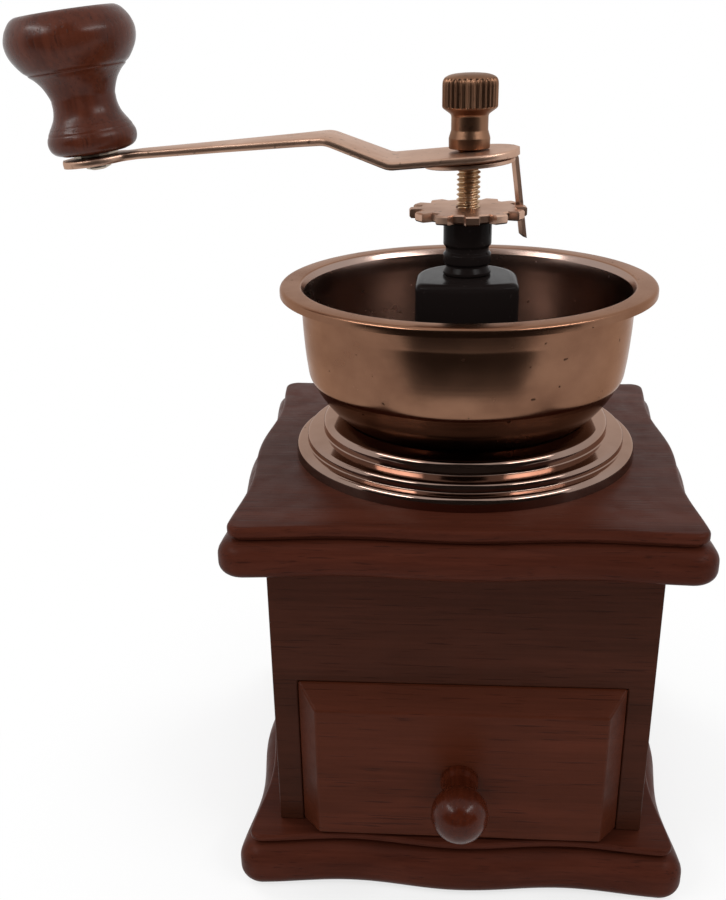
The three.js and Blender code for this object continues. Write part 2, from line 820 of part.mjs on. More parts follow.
function armOutline() {
  const tip = padCentre - Math.sqrt(padRadius ** 2 - armTipHalf ** 2);
  const padAngle = Math.asin(armTipHalf / padRadius);
  const outline = new THREE.Shape();
  outline.moveTo(-tip, -armTipHalf);
  outline.lineTo(-secondBend, -crookHalf);
  outline.lineTo(-firstBend, -bendHalf);
  outline.absarc(0, 0, hubRadius, -Math.PI / 2, Math.PI / 2, false);
  outline.lineTo(-firstBend, bendHalf);
  outline.lineTo(-secondBend, crookHalf);
  outline.lineTo(-tip, armTipHalf);
  outline.absarc(-padCentre, 0, padRadius, padAngle, 2 * Math.PI - padAngle, false);
  return outline;
}

// Height of the pad's top above the hub's top, on the knob's axis.
const padDrop = (padCentre - padBend) * Math.tan(radians(padTilt));
const padTop = armRise - padDrop;

function crankArm() {
  const middle = -armThickness / 2;
  const far = padCentre + padRadius + overrun;
  const endDrop = (far - padBend) * Math.tan(radians(padTilt));
  const side = bentStrip([
    new THREE.Vector2(-far, armRise - endDrop + middle),
    new THREE.Vector2(-padBend, armRise + middle),
    new THREE.Vector2(-secondBend, armRise + middle),
    new THREE.Vector2(-firstBend, middle),
    new THREE.Vector2(hubRadius + overrun, middle),
  ], armThickness);
  const strip = uprightPlate(side, -hubRadius - overrun, hubRadius + overrun);
  const body = common(strip, plate(armOutline(), -armRise - overrun, armRise + armThickness + overrun));
  const pinHole = rod(pinRadius + pinFit, -armThickness - overrun, overrun)
    .rotateY(-radians(padTilt)).translate(-padCentre, 0, padTop);
  return cut(body, hubSlot(), pinHole);
}

// The hub's hole, with the spindle's two flats, upright although the crank is tilted.
function hubSlot() {
  const reach = armThickness + clipThickness + turnGap + overrun;
  const round = rod(shaftRadius + flatFit, -reach, overrun, boreSegments);
  const half = shaftFlat + flatFit;
  const wide = shaftRadius + overrun;
  const slot = common(round, block([-wide, -half, -reach], [wide, half, overrun]));
  return slot.rotateY(radians(crankTilt));
}

// The lock clip: a washer plate under the hub with a finger down into the disc's valley.
function lockClip() {
  const top = -armThickness - turnGap;
  const bottom = top - clipThickness;
  const ringPlate = rod(clipRadius, bottom, top, turnedSegments);
  const tongue = block([0, -fingerHalf, bottom], [clipReach, fingerHalf, top]).rotateZ(radians(clipTurn));
  const finger = block([-clipThickness, -fingerHalf, -fingerLength], [0, fingerHalf, 0])
    .rotateY(-radians(fingerLean)).translate(clipReach, 0, top).rotateZ(radians(clipTurn));
  return cut(joined(ringPlate, tongue, finger), hubSlot());
}

// Cap nut

// Heights of the cap's steps, from its foot to its dome.
const capShares = { foot: 0.14, neck: 0.27, flare: 0.455, band: 0.59, shoulder: 0.85, dome: 0.92, crown: 0.975 };
const crownShare = 0.6;

function capNut() {
  const at = (share) => capBottom + capHeight * share;
  const dome = capRadius - capFlute - capFlute;
  const body = turned([
    [0, at(0)], [capFoot, at(0)], [capFoot, at(capShares.foot)], [capWaist, at(capShares.neck)],
    [capWaist, at(capShares.flare)], [capRadius, at(capShares.band)], [capRadius, at(capShares.shoulder)],
    [dome, at(capShares.dome)], [dome * crownShare, at(capShares.crown)], [0, at(1)],
  ], capFlutes * 2);
  rippled(body, (angle, height, radius) => {
    const groove = (Math.cos(capFlutes * angle) - 1) / 2;
    return radius > capRadius - capFlute ? capFlute * groove : 0;
  });
  const bore = rod(shaftRadius + runFit, capBottom - overrun, capBottom + capBoreDepth, boreSegments);
  return cut(body, bore);
}

// Crank knob, drawn upright on the pad's top centre

const gripBottom = washerGap + knobWasherHeight + washerGap;

// Profile of the knob: shares of the radius there, with shares of the knob's height.
const gripFootShares = [[0.758, 0], [0.93, 0.015], [1, 0.04], [0.996, 0.11], [0.909, 0.17], [0.808, 0.225]];
const gripWaistShares = [[1, 0.33], [1.008, 0.42], [1.149, 0.5], [1.327, 0.557]];
const gripHeadShares = [
  [0.834, 0.63], [0.939, 0.7], [0.992, 0.757], [1, 0.857], [0.954, 0.914], [0.887, 0.96], [0.832, 0.985], [0.77, 1],
];

function grip() {
  const stretches = [[gripFoot, gripFootShares], [gripWaist, gripWaistShares], [gripHead, gripHeadShares]];
  const profile = stretches.flatMap(([radius, shares]) => (
    shares.map(([out, up]) => [radius * out, gripBottom + gripHeight * up])));
  const top = gripBottom + gripHeight;
  const bore = rod(pinRadius + pinFit, gripBottom - overrun, top + overrun, smallSegments);
  const recess = rod(pinRecess, top - pinRecessDepth, top + overrun, smallSegments);
  return cut(turned([[0, gripBottom], ...profile, [0, top]]), bore, recess);
}

function knobPin() {
  const under = -armThickness - washerGap;
  const head = gripBottom + gripHeight - pinRecessDepth + washerGap;
  return turned([
    [0, under - rivetHeight], [rivetRadius / 2, under - rivetHeight], [rivetRadius, under - rivetHeight / 2],
    [rivetRadius, under], [pinRadius, under], [pinRadius, head], [pinHead, head],
    [pinHead, head + pinHeadHeight / 2], [pinHead / 2, head + pinHeadHeight], [0, head + pinHeadHeight],
  ], smallSegments);
}

function knobWasher() {
  return sleeve(knobWasherRadius, pinRadius + pinFit, washerGap, washerGap + knobWasherHeight);
}

// Screws

// A countersunk-style wood screw, head up, with the underside of its head at zero.
function woodScrew(length) {
  return turned([
    [0, -length], [screwRadius / 2, -length + screwTip / 2], [screwRadius, -length + screwTip],
    [screwRadius, 0], [screwHead, 0], [screwHead, screwHeadHeight / 2],
    [screwHead / 2, screwHeadHeight], [0, screwHeadHeight],
  ], screwSegments);
}

function baseScrew([x, y]) {
  return woodScrew(baseScrewLength - screwHeadHeight).rotateX(Math.PI)
    .translate(x, y, screwHeadHeight + screwFit);
}

function hopperScrew([x, y]) {
  const seat = x === 0 ? floorTop + bridgeWall + seatGap + seatGap : floorTop + seatGap;
  const tip = lidTop - screwLength + seatGap;
  return woodScrew(seat - tip).translate(x, y, seat);
}

// Assembly

function part(parent, name, geometry, finish) {
  const mesh = new THREE.Mesh(closed(geometry), finish);
  mesh.name = name;
  parent.add(mesh);
  return mesh;
}

const mill = new THREE.Group();

part(mill, 'base_plate', basePlate(), lidWood);
part(mill, 'lid_board', lid(), lidWood);
part(mill, 'front_panel', frontPanel(), bodyWood);
part(mill, 'back_panel', backPanel(), bodyWood);
part(mill, 'left_panel', sidePanel(-1), bodyWood);
part(mill, 'right_panel', sidePanel(1), bodyWood);
baseScrewPlaces().forEach((place, i) => part(mill, `base_screw_${i + 1}`, baseScrew(place), steel));

part(mill, 'drawer_front', drawerFront(), drawerWood);
part(mill, 'drawer_left_side', drawerSide(-1), plainWood);
part(mill, 'drawer_right_side', drawerSide(1), plainWood);
part(mill, 'drawer_back', drawerBack(), plainWood);
part(mill, 'drawer_bottom', drawerBoard(), plainWood);
part(mill, 'drawer_knob', drawerKnob(), turnedWood);
part(mill, 'drawer_knob_screw', drawerKnobScrew(), steel);

part(mill, 'hopper_collar', collar(), bronze);
part(mill, 'hopper_bowl', bowl(), bronze);
part(mill, 'ring_burr', ringBurr(), iron);
part(mill, 'bridge', bridge(), black);
part(mill, 'bearing_tube', bearingTube(), black);
part(mill, 'upper_bush', bush(tubeTop - bushLength), brass);
part(mill, 'lower_bush', bush(tubeBottom), brass);
const hopperScrewNames = ['bridge_screw_front', 'bridge_screw_rear', 'hopper_screw_left', 'hopper_screw_right'];
hopperScrewPlaces().forEach((place, i) => part(mill, hopperScrewNames[i], hopperScrew(place), steel));

part(mill, 'thrust_washer', sleeve(thrustRadius, shaftRadius + runFit, tubeTop + seatGap,
  tubeTop + seatGap + thrustHeight, boreSegments), steel);
part(mill, 'grind_disc', grindDisc(), bronze);
part(mill, 'spindle', shaft(), steel);
part(mill, 'burr_spring', spring(), steel);
part(mill, 'cone_burr', coneBurr(), iron);
part(mill, 'burr_washer', sleeve(burrWasherRadius, shaftRadius + runFit,
  coneBottom - turnGap - burrWasherHeight, coneBottom - turnGap, boreSegments), steel);
part(mill, 'burr_nut', hexNut(burrNutHalf, nutTop - burrNutHeight, nutTop, shaftRadius + runFit), steel);
part(mill, 'cap_nut', capNut(), darkBronze);

const crank = new THREE.Group();
crank.position.set(0, 0, armTop);
crank.rotation.y = -radians(crankTilt);
mill.add(crank);
part(crank, 'crank_arm', crankArm(), bronze);
part(crank, 'lock_clip', lockClip(), bronze);

const handle = new THREE.Group();
handle.position.set(-padCentre, 0, padTop);
handle.rotation.y = -radians(padTilt);
crank.add(handle);
part(handle, 'crank_knob', grip(), turnedWood);
part(handle, 'knob_washer', knobWasher(), steel);
part(handle, 'knob_pin', knobPin(), steel);

export default mill;
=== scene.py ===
"""A wooden hand mill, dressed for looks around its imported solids. Metres, +Z up, the drawer towards -Y."""
import json
import math

import bmesh
import bpy
from mathutils import Matrix, Vector


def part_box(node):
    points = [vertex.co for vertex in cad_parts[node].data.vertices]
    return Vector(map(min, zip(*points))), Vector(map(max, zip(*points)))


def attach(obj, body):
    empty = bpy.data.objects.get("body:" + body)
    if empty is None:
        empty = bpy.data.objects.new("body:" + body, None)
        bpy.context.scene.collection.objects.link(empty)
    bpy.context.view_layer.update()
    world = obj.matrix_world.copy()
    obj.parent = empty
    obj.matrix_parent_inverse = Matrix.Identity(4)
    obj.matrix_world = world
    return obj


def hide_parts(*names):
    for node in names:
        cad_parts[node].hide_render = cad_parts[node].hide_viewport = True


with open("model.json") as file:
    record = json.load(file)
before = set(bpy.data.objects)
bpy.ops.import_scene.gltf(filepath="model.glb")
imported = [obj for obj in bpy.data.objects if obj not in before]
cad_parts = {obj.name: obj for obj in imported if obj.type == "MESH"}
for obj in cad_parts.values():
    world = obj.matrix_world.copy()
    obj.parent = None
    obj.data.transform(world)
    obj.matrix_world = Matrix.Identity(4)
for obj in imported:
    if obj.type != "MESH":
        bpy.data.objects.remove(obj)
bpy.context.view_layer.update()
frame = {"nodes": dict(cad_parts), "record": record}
scene = bpy.context.scene


# Sizes, in metres. What the solids already say is read from their boxes instead.

LID_WAVE = 0.00095
BASE_WAVE = 0.0013
WAVES_PER_SIDE = 1.85
PLATE_HALF = 0.0621
PLATE_CORNER = 0.0068
NOSE_SHARE = 0.47
NOSE_FOOT_SHARE = 0.33
BASE_NOSE = 0.0131
BASE_STEP = 0.0034
LID_NOSE = 0.0096
LID_STEP = 0.0028
LIP_ROUND = 0.0019
NOTCH_DEPTH = 0.0017
NOTCH_HEIGHT = 0.0013
LID_HOLE = 0.0204
PILOT_RADIUS = 0.0037
PILOT_DEPTH = 0.0025
PILOT_STEPS = 32

BOARD_EDGE = 0.0005
DRAWER_GAP = 0.0008
DRAWER_FILL = 0.0007
DRAWER_BEVEL = 0.0052
DRAWER_EDGE = 0.0006
DRAWER_EDGE_ANGLE = math.radians(25)

SEAT_GAP = 0.00015
CUT_REACH = 0.001

SHEET = 0.001
RIM_WIDTH = 0.004
RIM_DEPTH = 0.0062
RIM_FILLET = 0.0036
RIM_ROUND_OUT = 0.0014
RIM_ROUND_IN = 0.0009
RIM_FLARE = 0.0018
RIM_ROLL = 0.0022
# Heights over which the bowl's painted shade at its foot, where it sits in the collar, fades out.
PAINTED_SHADE_LOW = 0.1315
PAINTED_SHADE_HIGH = 0.1395
BOWL_FLOOR_HOLE = 0.0175
BOWL_NECK = 0.0349
BRIM_RADIUS = 0.0486
BRIM_HEIGHT = 0.0037
STEP_RADIUS = 0.0455
STEP_HEIGHT = 0.0026
TOP_STEP_RADIUS = 0.0407
TOP_STEP_HEIGHT = 0.004
RING_SLOPE = 0.2
RING_ROUND = 0.0019
RING_VALLEY = 0.00038
COLLAR_SHEET = 0.0009
COLLAR_SLACK = 0.0003

BRIDGE_WALL = 0.0025
BRIDGE_BOW = 0.0022
BRIDGE_FRONT = 0.0134
BRIDGE_CORNER = 0.003
BRIDGE_EDGE = 0.0022
BRIDGE_HEAD_ROOM = 0.009
WINDOW_BACK = 0.008
FOOT_HALF = 0.007
FOOT_EDGE = 0.0005
REAR_FOOT_START = 0.0114

TUBE_SHANK = 0.00575
TUBE_BORE = 0.0046
TUBE_ROUND = 0.0005
# The tube's rings and grooves over its seat: radius (None is the full one), height and rounding.
TUBE_RINGS = [
    (None, 0, 0.0004), (None, 0.0008, 0.0004), (0.0058, 0.0022, 0.0005), (0.0058, 0.0026, 0.0003),
    (None, 0.0032, 0.0006), (None, 0.0055, 0.0006), (0.0059, 0.0062, 0.0003), (0.0059, 0.0073, 0.0003),
    (None, 0.0081, 0.0005),
]

THREAD_PITCH = 0.00127
THREAD_DEPTH = 0.00062
THREAD_START = 0.1745
THREAD_CREST = 1.25
THREAD_FLANK = 3.4
SHAFT_RADIUS = 0.003175
SHAFT_END = 0.0028
SHAFT_CHAMFER = 0.0005
SHOULDER_FOOT = 0.1139
SHOULDER_HEIGHT = 0.002
SHOULDER_EDGE = 0.0002

CRANK_TILT = math.radians(3.9)
PAD_TILT = math.radians(2.97)
ARM_THICKNESS = 0.002
HUB_RADIUS = 0.0132
ARM_RISE = 0.0073
FIRST_BEND = 0.0205
SECOND_BEND = 0.0365
PAD_BEND = 0.088
PAD_CENTRE = 0.1002
PAD_RADIUS = 0.0094
BEND_RADIUS = 0.0045
UPPER_BEND_RADIUS = 0.0085
PAD_BEND_RADIUS = 0.03
ARM_EDGE = 0.0008
ARM_STEP = 0.0012
# Half the arm's width at distances from the spindle, where it is neither hub nor pad.
ARM_TAPER = [
    (0, HUB_RADIUS), (FIRST_BEND, 0.0127), (SECOND_BEND, 0.011), (0.045, 0.0089), (0.056, 0.0076),
    (0.066, 0.0063), (0.08, 0.00525), (PAD_BEND, 0.0047), (0.13, 0.0047),
]
CAP_LIFT = 0.0006
CLIP_THICKNESS = 0.0011
CLIP_GAP = 0.0003
CLIP_RADIUS = 0.012
CLIP_REACH = 0.0133
CLIP_TURN = math.radians(20)
CLIP_BEND = 0.0012
CLIP_SLACK = 0.0002
CLIP_EDGE = 0.0002
CLIP_ROUND = 0.0003
TONGUE_OVERLAP = 0.003
FINGER_LENGTH = 0.0224
FINGER_HALF = 0.0014
FINGER_LEAN = math.radians(4.5)
FINGER_SLANT = 0.0012

DISC_TEETH = 12
DISC_VALLEY = 0.013
DISC_TRIM = 0.0007
DISC_NOTCH_HALF = 0.2
DISC_FLANK = 0.09
DISC_EDGE = 0.0004
DISC_SLACK = 0.00013
STEPS_PER_TOOTH = 24

CAP_RIDGES = 30
CAP_FLUTE = 0.00045
CAP_FLUTE_SHARPNESS = 1.6
CAP_RIDGE_SHARES = (0.56, 0.93)
CAP_BORE = 0.0034
CAP_FOOT = 0.0054
CAP_WAIST = 0.00485
CAP_RADIUS = 0.00725

GRIP_HEAD = 0.01694
GRIP_FOOT = 0.012
GRIP_WAIST = 0.00857
GRIP_START = 0.001
GRIP_HEIGHT = 0.035
GRIP_BORE = 0.0022
PIN_RECESS = 0.0046
PIN_RECESS_DEPTH = 0.0026
PIN_RECESS_ROUND = 0.0004

BALL_RADIUS = 0.0076
BALL_REACH = 0.0143
BALL_NECK = 0.0048
BALL_FOOT = 0.0052
BALL_FOOT_HEIGHT = 0.0016
BALL_NECK_HEIGHT = 0.0036
BALL_NECK_SHARE = 0.96
BALL_FOOT_ROUND = 0.0012
TIP = 0.0001

SCREW_CORE_SHARE = 0.4
SCREW_HEAD = 0.0021
SCREW_HEAD_RIM = 0.0012
SCREW_RIDGE = 0.0002
SCREW_TAPER = 0.55
SCREW_RINGS = 24
SLOT_HALF = 0.0005
SLOT_DEPTH = 0.0009
SLOT_REACH = 0.0014

SMOOTH_ANGLE = math.radians(32)
ROUND_FORM_ANGLE = math.radians(50)
THREAD_ANGLE = math.radians(60)
CAP_ANGLE = math.radians(45)
SOFTEN_ANGLE = math.radians(40)
STRAIGHT_ANGLE = math.radians(89.5)
CORNER_SHARE = 0.49
PLATE_SIDE_STEPS = 44
PLATE_CORNER_STEPS = 10
NOSE_STEPS = 8
BALL_STEPS = 26
HOPPER_STEPS = 160
TUBE_STEPS = 96
GRIP_STEPS = 128
SMALL_STEPS = 72
ROD_STEPS = 48
SCREW_STEPS = 40
THREAD_RINGS = 10


# Places that come from the solids

def low(node):
    return Vector(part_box(node)[0])


def high(node):
    return Vector(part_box(node)[1])


base_top = high("base_plate").z
body_half = high("front_panel").x
body_top = high("front_panel").z
lid_top = high("lid_board").z
panel_inner = -high("left_panel").x
collar_top = high("hopper_collar").z
rim_top = high("hopper_bowl").z
rim_radius = high("hopper_bowl").x
floor_under = low("hopper_bowl").z
bridge_top = high("bridge").z
tube_top = high("bearing_tube").z
arm_top = low("cap_nut").z - CAP_LIFT
knob_joint = next(joint for joint in frame["record"]["behaviour"]["joints"] if joint["name"] == "knob_spin")
crank_frame = Matrix.Translation((0, 0, arm_top)) @ Matrix.Rotation(-CRANK_TILT, 4, "Y")
knob_frame = Matrix.Translation(knob_joint["pos_m"]) @ Matrix.Rotation(-CRANK_TILT - PAD_TILT, 4, "Y")


# Node graphs for the materials

class Graph:
    """A node tree of a material or of the world, with short ways to add and join nodes."""

    def __init__(self, owner):
        owner.use_nodes = True
        self.owner = owner
        self.tree = owner.node_tree
        self.shader = self.tree.nodes.get("Principled BSDF")

    def node(self, kind, settings=None, **inputs):
        made = self.tree.nodes.new("ShaderNode" + kind)
        for key, value in (settings or {}).items():
            setattr(made, key, value)
        for key, value in inputs.items():
            self.feed(made, key, value)
        return made

    def feed(self, node, key, value):
        """Sets or links an input, named with _ for each space, or as i and its number."""
        numbered = key[0] == "i" and key[1:].isdigit()
        socket = node.inputs[int(key[1:])] if numbered else node.inputs[key.replace("_", " ")]
        if isinstance(value, bpy.types.NodeSocket):
            self.tree.links.new(value, socket)
        else:
            socket.default_value = value

    def place(self, scale, turn=(0, 0, 0), shift=(0, 0, 0)):
        """Object coordinates, scaled in features per metre: one number, or one for each axis."""
        where = self.node("TexCoord").outputs["Object"]
        turned = self.node("Mapping", {"vector_type": "TEXTURE"}, Vector=where, Location=shift, Rotation=turn)
        scales = scale if isinstance(scale, tuple) else (scale, scale, scale)
        return self.node("Mapping", Vector=turned.outputs[0], Scale=scales).outputs[0]

    def noise(self, where, detail=3.0, roughness=0.55, distortion=0.0):
        made = self.node("TexNoise", Vector=where, Scale=1.0, Detail=detail, Roughness=roughness,
                         Distortion=distortion)
        return made.outputs["Fac"]

    def curve(self, value, low_in, high_in, low_out=0.0, high_out=1.0):
        """A soft step from low_out to high_out, while value goes from low_in to high_in."""
        made = self.node("MapRange", {"interpolation_type": "SMOOTHSTEP"}, Value=value, From_Min=low_in,
                         From_Max=high_in, To_Min=low_out, To_Max=high_out)
        return made.outputs["Result"]

    def math(self, operation, first, second):
        return self.node("Math", {"operation": operation}, i0=first, i1=second).outputs[0]

    def length(self, vector):
        return self.node("VectorMath", {"operation": "LENGTH"}, i0=vector).outputs["Value"]

    def blend(self, factor, first, second):
        made = self.node("Mix", {"data_type": "RGBA", "blend_type": "MIX"}, i0=factor, i6=first, i7=second)
        return made.outputs[2]

    def bump(self, height, distance, strength=1.0, **below):
        made = self.node("Bump", Height=height, Distance=distance, Strength=strength, **below)
        return made.outputs["Normal"]

    def seen(self):
        """1 for rays from the camera, from reflections and through glass, and 0 for the light's own."""
        paths = self.node("LightPath").outputs
        direct = self.math("MAXIMUM", paths["Is Camera Ray"], paths["Is Glossy Ray"])
        return self.math("MAXIMUM", direct, paths["Is Transmission Ray"])

    def finish(self, **inputs):
        for key, value in inputs.items():
            self.feed(self.shader, key, value)
        return self.owner


def material_graph(name):
    return Graph(bpy.data.materials.new(name))


def colour(red, green, blue):
    """An sRGB colour, 0 to 255, as a linear one."""
    def linear(value):
        share = value / 255
        return share / 12.92 if share <= 0.04045 else ((share + 0.055) / 1.055) ** 2.4
    return (linear(red), linear(green), linear(blue), 1.0)


WOOD_BANDS = (75, 9)
WOOD_FIBRES = (850, 32)
WOOD_PORES = (1900, 75)
WOOD_BLOTCHES = 28
WOOD_SHEEN = 160
WOOD_RIPPLE = 110


def stretched(across, along, grain):
    """A scale for wood whose fibres run along the axis number grain."""
    return tuple(along if axis == grain else across for axis in range(3))


def varnished_wood(name, dark, light, pore, grain, gloss, shine, turn=(0, 0, 0), shift=(0, 0, 0)):
    """Stained, varnished wood."""
    graph = material_graph(name)

    def place(across, along):
        return graph.place(stretched(across, along, grain), turn, shift)

    bands = graph.noise(place(*WOOD_BANDS), detail=4.0, distortion=0.7)
    fibres = graph.noise(place(*WOOD_FIBRES), detail=3.0, roughness=0.6)
    pores = graph.noise(place(*WOOD_PORES), detail=1.5)
    blotches = graph.noise(place(WOOD_BLOTCHES, WOOD_BLOTCHES), detail=2.0)
    mixed = graph.math("ADD", graph.math("MULTIPLY", bands, 0.62), graph.math("MULTIPLY", fibres, 0.38))
    stained = graph.blend(graph.curve(mixed, 0.34, 0.66), colour(*dark), colour(*light))
    clouded = graph.blend(graph.curve(blotches, 0.35, 0.7, 0.0, 0.35), stained, colour(*dark))
    open_pores = graph.curve(pores, 0.6, 0.72)
    shown = graph.blend(graph.math("MULTIPLY", open_pores, 0.45), clouded, colour(*pore))
    sheen = graph.noise(place(WOOD_SHEEN, WOOD_SHEEN))
    rough = graph.curve(sheen, 0.3, 0.75, gloss - 0.05, gloss + 0.09)
    sunk = graph.math("SUBTRACT", graph.math("MULTIPLY", fibres, 0.5), open_pores)
    normal = graph.bump(sunk, 0.00006, 0.5)
    waves = graph.noise(place(WOOD_RIPPLE, WOOD_RIPPLE), detail=1.0)
    ripple = graph.bump(waves, 0.0003, 0.12, Normal=normal)
    return graph.finish(Base_Color=shown, Roughness=rough, Normal=ripple, Specular_IOR_Level=shine)


def bare_wood(name, dark, light, grain):
    """Sanded wood without varnish, for the drawer's inside."""
    graph = material_graph(name)
    rings = graph.noise(graph.place(stretched(130, 14, grain)), detail=4.0, distortion=1.2)
    fibres = graph.noise(graph.place(stretched(1300, 45, grain)), detail=2.0)
    shown = graph.blend(graph.curve(rings, 0.35, 0.62), colour(*dark), colour(*light))
    streaked = graph.blend(graph.curve(fibres, 0.55, 0.75, 0.0, 0.45), shown, colour(*dark))
    return graph.finish(Base_Color=streaked, Roughness=0.7, Normal=graph.bump(fibres, 0.0001, 0.5))


PLATED_TINT = (236, 224, 216)
SPUN_TINT = (226, 208, 198)
TURNING_LINES = 1500.0


def plated_metal(name, pale, deep, rough, streak, pits):
    """Plated metal. streak counts its polishing lines per metre along X, Y and Z."""
    graph = material_graph(name)
    lines = graph.noise(graph.place(streak), detail=2.0, roughness=0.6)
    clouds = graph.noise(graph.place(55), detail=3.0)
    specks = graph.noise(graph.place(520), detail=1.0)
    shown = graph.blend(graph.curve(clouds, 0.3, 0.7), colour(*pale), colour(*deep))
    worn = graph.blend(graph.curve(specks, 0.66, 0.74, 0.0, pits), shown, colour(40, 26, 22))
    base = graph.curve(clouds, 0.3, 0.75, rough - 0.04, rough + 0.06)
    roughness = graph.math("ADD", base, graph.math("MULTIPLY", lines, 0.05))
    return graph.finish(Base_Color=worn, Metallic=1.0, Roughness=roughness,
                        Specular_Tint=colour(*PLATED_TINT), Normal=graph.bump(lines, 0.00003, 0.35))


def spun_metal(name, pale, deep, rough, stretch, painted_inner_reflection=None, painted_foot_shade=None):
    """Spun, plated sheet, with fine turning lines round the spindle's axis and a few dark pits.

    stretch draws its reflections out. The two optional colours are painted light: a paler painted reflection
    on the side that looks to the axis, and a painted shade, darker towards its foot.
    """
    graph = material_graph(name)
    coordinates = graph.node("TexCoord").outputs
    parts = graph.node("SeparateXYZ", Vector=coordinates["Object"]).outputs
    flat = graph.node("CombineXYZ", X=parts[0], Y=parts[1]).outputs[0]
    radius = graph.length(flat)
    ringed = graph.node("CombineXYZ", X=graph.math("MULTIPLY", radius, TURNING_LINES),
                        Y=graph.math("MULTIPLY", parts[2], TURNING_LINES)).outputs[0]
    lines = graph.noise(ringed, detail=2.0, roughness=0.7)
    clouds = graph.noise(graph.place((42, 42, 60)), detail=4.0, roughness=0.6)
    specks = graph.noise(graph.place(420), detail=1.0)
    pits = graph.curve(specks, 0.75, 0.79, 0.0, 0.7)
    shown = graph.blend(graph.curve(clouds, 0.3, 0.72), colour(*pale), colour(*deep))
    # Painted reflection: a paler colour on the faces that look to the axis, standing in for the bright
    # reflections inside the bowl.
    if painted_inner_reflection:
        outward = graph.node("VectorMath", {"operation": "DOT_PRODUCT"}, i0=flat, i1=coordinates["Normal"])
        inside = graph.curve(outward.outputs["Value"], -0.036, -0.022, 1.0, 0.0)
        shown = graph.blend(inside, shown, colour(*painted_inner_reflection))
    # Painted shade: a darker colour low on the bowl, towards its foot in the collar, where shade falls.
    if painted_foot_shade:
        shaded_foot = graph.curve(parts[2], PAINTED_SHADE_LOW, PAINTED_SHADE_HIGH, 1.0, 0.0)
        shown = graph.blend(shaded_foot, shown, colour(*painted_foot_shade))
    pitted = graph.blend(pits, shown, colour(38, 24, 20))
    base = graph.curve(clouds, 0.3, 0.75, rough * 0.8, rough * 1.3)
    roughness = graph.math("ADD", base, graph.math("MULTIPLY", pits, 0.3))
    return graph.finish(Base_Color=pitted, Metallic=1.0, Roughness=roughness, Anisotropic=stretch,
                        Specular_Tint=colour(*SPUN_TINT), Normal=graph.bump(lines, 0.00002, 0.3))


def enamel(name):
    """Gloss black enamel with a fine orange peel and a little dust."""
    graph = material_graph(name)
    dust = graph.noise(graph.place(900), detail=1.0)
    peel = graph.noise(graph.place(420), detail=1.0)
    shown = graph.blend(graph.curve(dust, 0.68, 0.78, 0.0, 0.4), colour(25, 20, 19), colour(48, 42, 40))
    rough = graph.curve(graph.noise(graph.place(130)), 0.3, 0.7, 0.15, 0.22)
    return graph.finish(Base_Color=shown, Roughness=rough, Normal=graph.bump(peel, 0.00008, 0.15),
                        Specular_IOR_Level=0.03)


def cast_iron(name):
    """Grey cast iron for the burrs."""
    graph = material_graph(name)
    grains = graph.noise(graph.place(1400), detail=2.0)
    clouds = graph.noise(graph.place(160), detail=3.0)
    shown = graph.blend(graph.curve(clouds, 0.3, 0.7), colour(72, 69, 67), colour(46, 43, 41))
    return graph.finish(Base_Color=shown, Metallic=0.85, Roughness=graph.curve(clouds, 0.3, 0.7, 0.42, 0.6),
                        Normal=graph.bump(grains, 0.0001, 0.6))


# Varnished woods: dark, light and pore colours, the axis of the grain, gloss and shine.
VARNISHED = {
    "lid_wood": ((57, 25, 16), (73, 35, 24), (24, 10, 7), 0, 0.36, 0.04),
    "body_wood": ((49, 24, 15), (62, 31, 21), (24, 10, 7), 0, 0.36, 0.05),
    "side_wood": ((49, 24, 15), (62, 31, 21), (24, 10, 7), 1, 0.36, 0.05),
    "drawer_wood": ((61, 27, 15), (75, 35, 22), (24, 10, 7), 0, 0.36, 0.06),
    "ball_wood": ((54, 19, 8), (76, 31, 16), (30, 12, 8), 1, 0.24, 0.15),
    "turned_wood": ((56, 23, 13), (80, 38, 24), (30, 13, 9), 2, 0.28, 0.18),
}
# Plated metals: pale and deep colours, roughness, polishing lines per metre along X, Y and Z, and pits.
PLATED = {
    "arm_bronze": ((194, 160, 140), (178, 143, 122), 0.36, (60, 900, 900), 0.5),
    "dark_bronze": ((136, 101, 79), (112, 81, 62), 0.34, (900, 900, 120), 0.3),
    "steel": ((190, 184, 172), (164, 157, 144), 0.3, (300, 300, 300), 0.2),
    "spindle_steel": ((206, 180, 150), (176, 148, 118), 0.3, (200, 200, 900), 0.4),
    "bush_bronze": ((188, 150, 92), (160, 122, 70), 0.35, (200, 200, 1200), 0.0),
}
BARE_WOOD = (166, 124, 82), (202, 162, 116)
KNOB_GRAIN = dict(turn=(0, -CRANK_TILT - PAD_TILT, 0), shift=tuple(knob_joint["pos_m"]))


def make_materials():
    made = {}
    for name, look in VARNISHED.items():
        made[name] = varnished_wood(name, *look, **(KNOB_GRAIN if name == "turned_wood" else {}))
    for name, grain in (("plain_wood", 1), ("plain_wood_across", 0)):
        made[name] = bare_wood(name, *BARE_WOOD, grain)
    # The bowl's bronze carries a painted reflection on its inside and a painted shade at its foot.
    made["bronze"] = spun_metal("bronze", (136, 100, 79), (121, 86, 67), 0.22, 0.35,
                                painted_inner_reflection=(156, 134, 124), painted_foot_shade=(78, 56, 45))
    made["collar_bronze"] = spun_metal("collar_bronze", (150, 127, 116), (137, 114, 103), 0.09, 0.0)
    for name, look in PLATED.items():
        made[name] = plated_metal(name, *look)
    made["black_enamel"] = enamel("black_enamel")
    made["burr_iron"] = cast_iron("burr_iron")
    return made


materials = make_materials()


# Making meshes

def new_object(name, data):
    made = bpy.data.objects.new(name, data)
    scene.collection.objects.link(made)
    return made


def mesh_object(name, verts, faces):
    mesh = bpy.data.meshes.new(name)
    mesh.from_pydata([tuple(vert) for vert in verts], [], faces)
    return new_object(name, mesh)


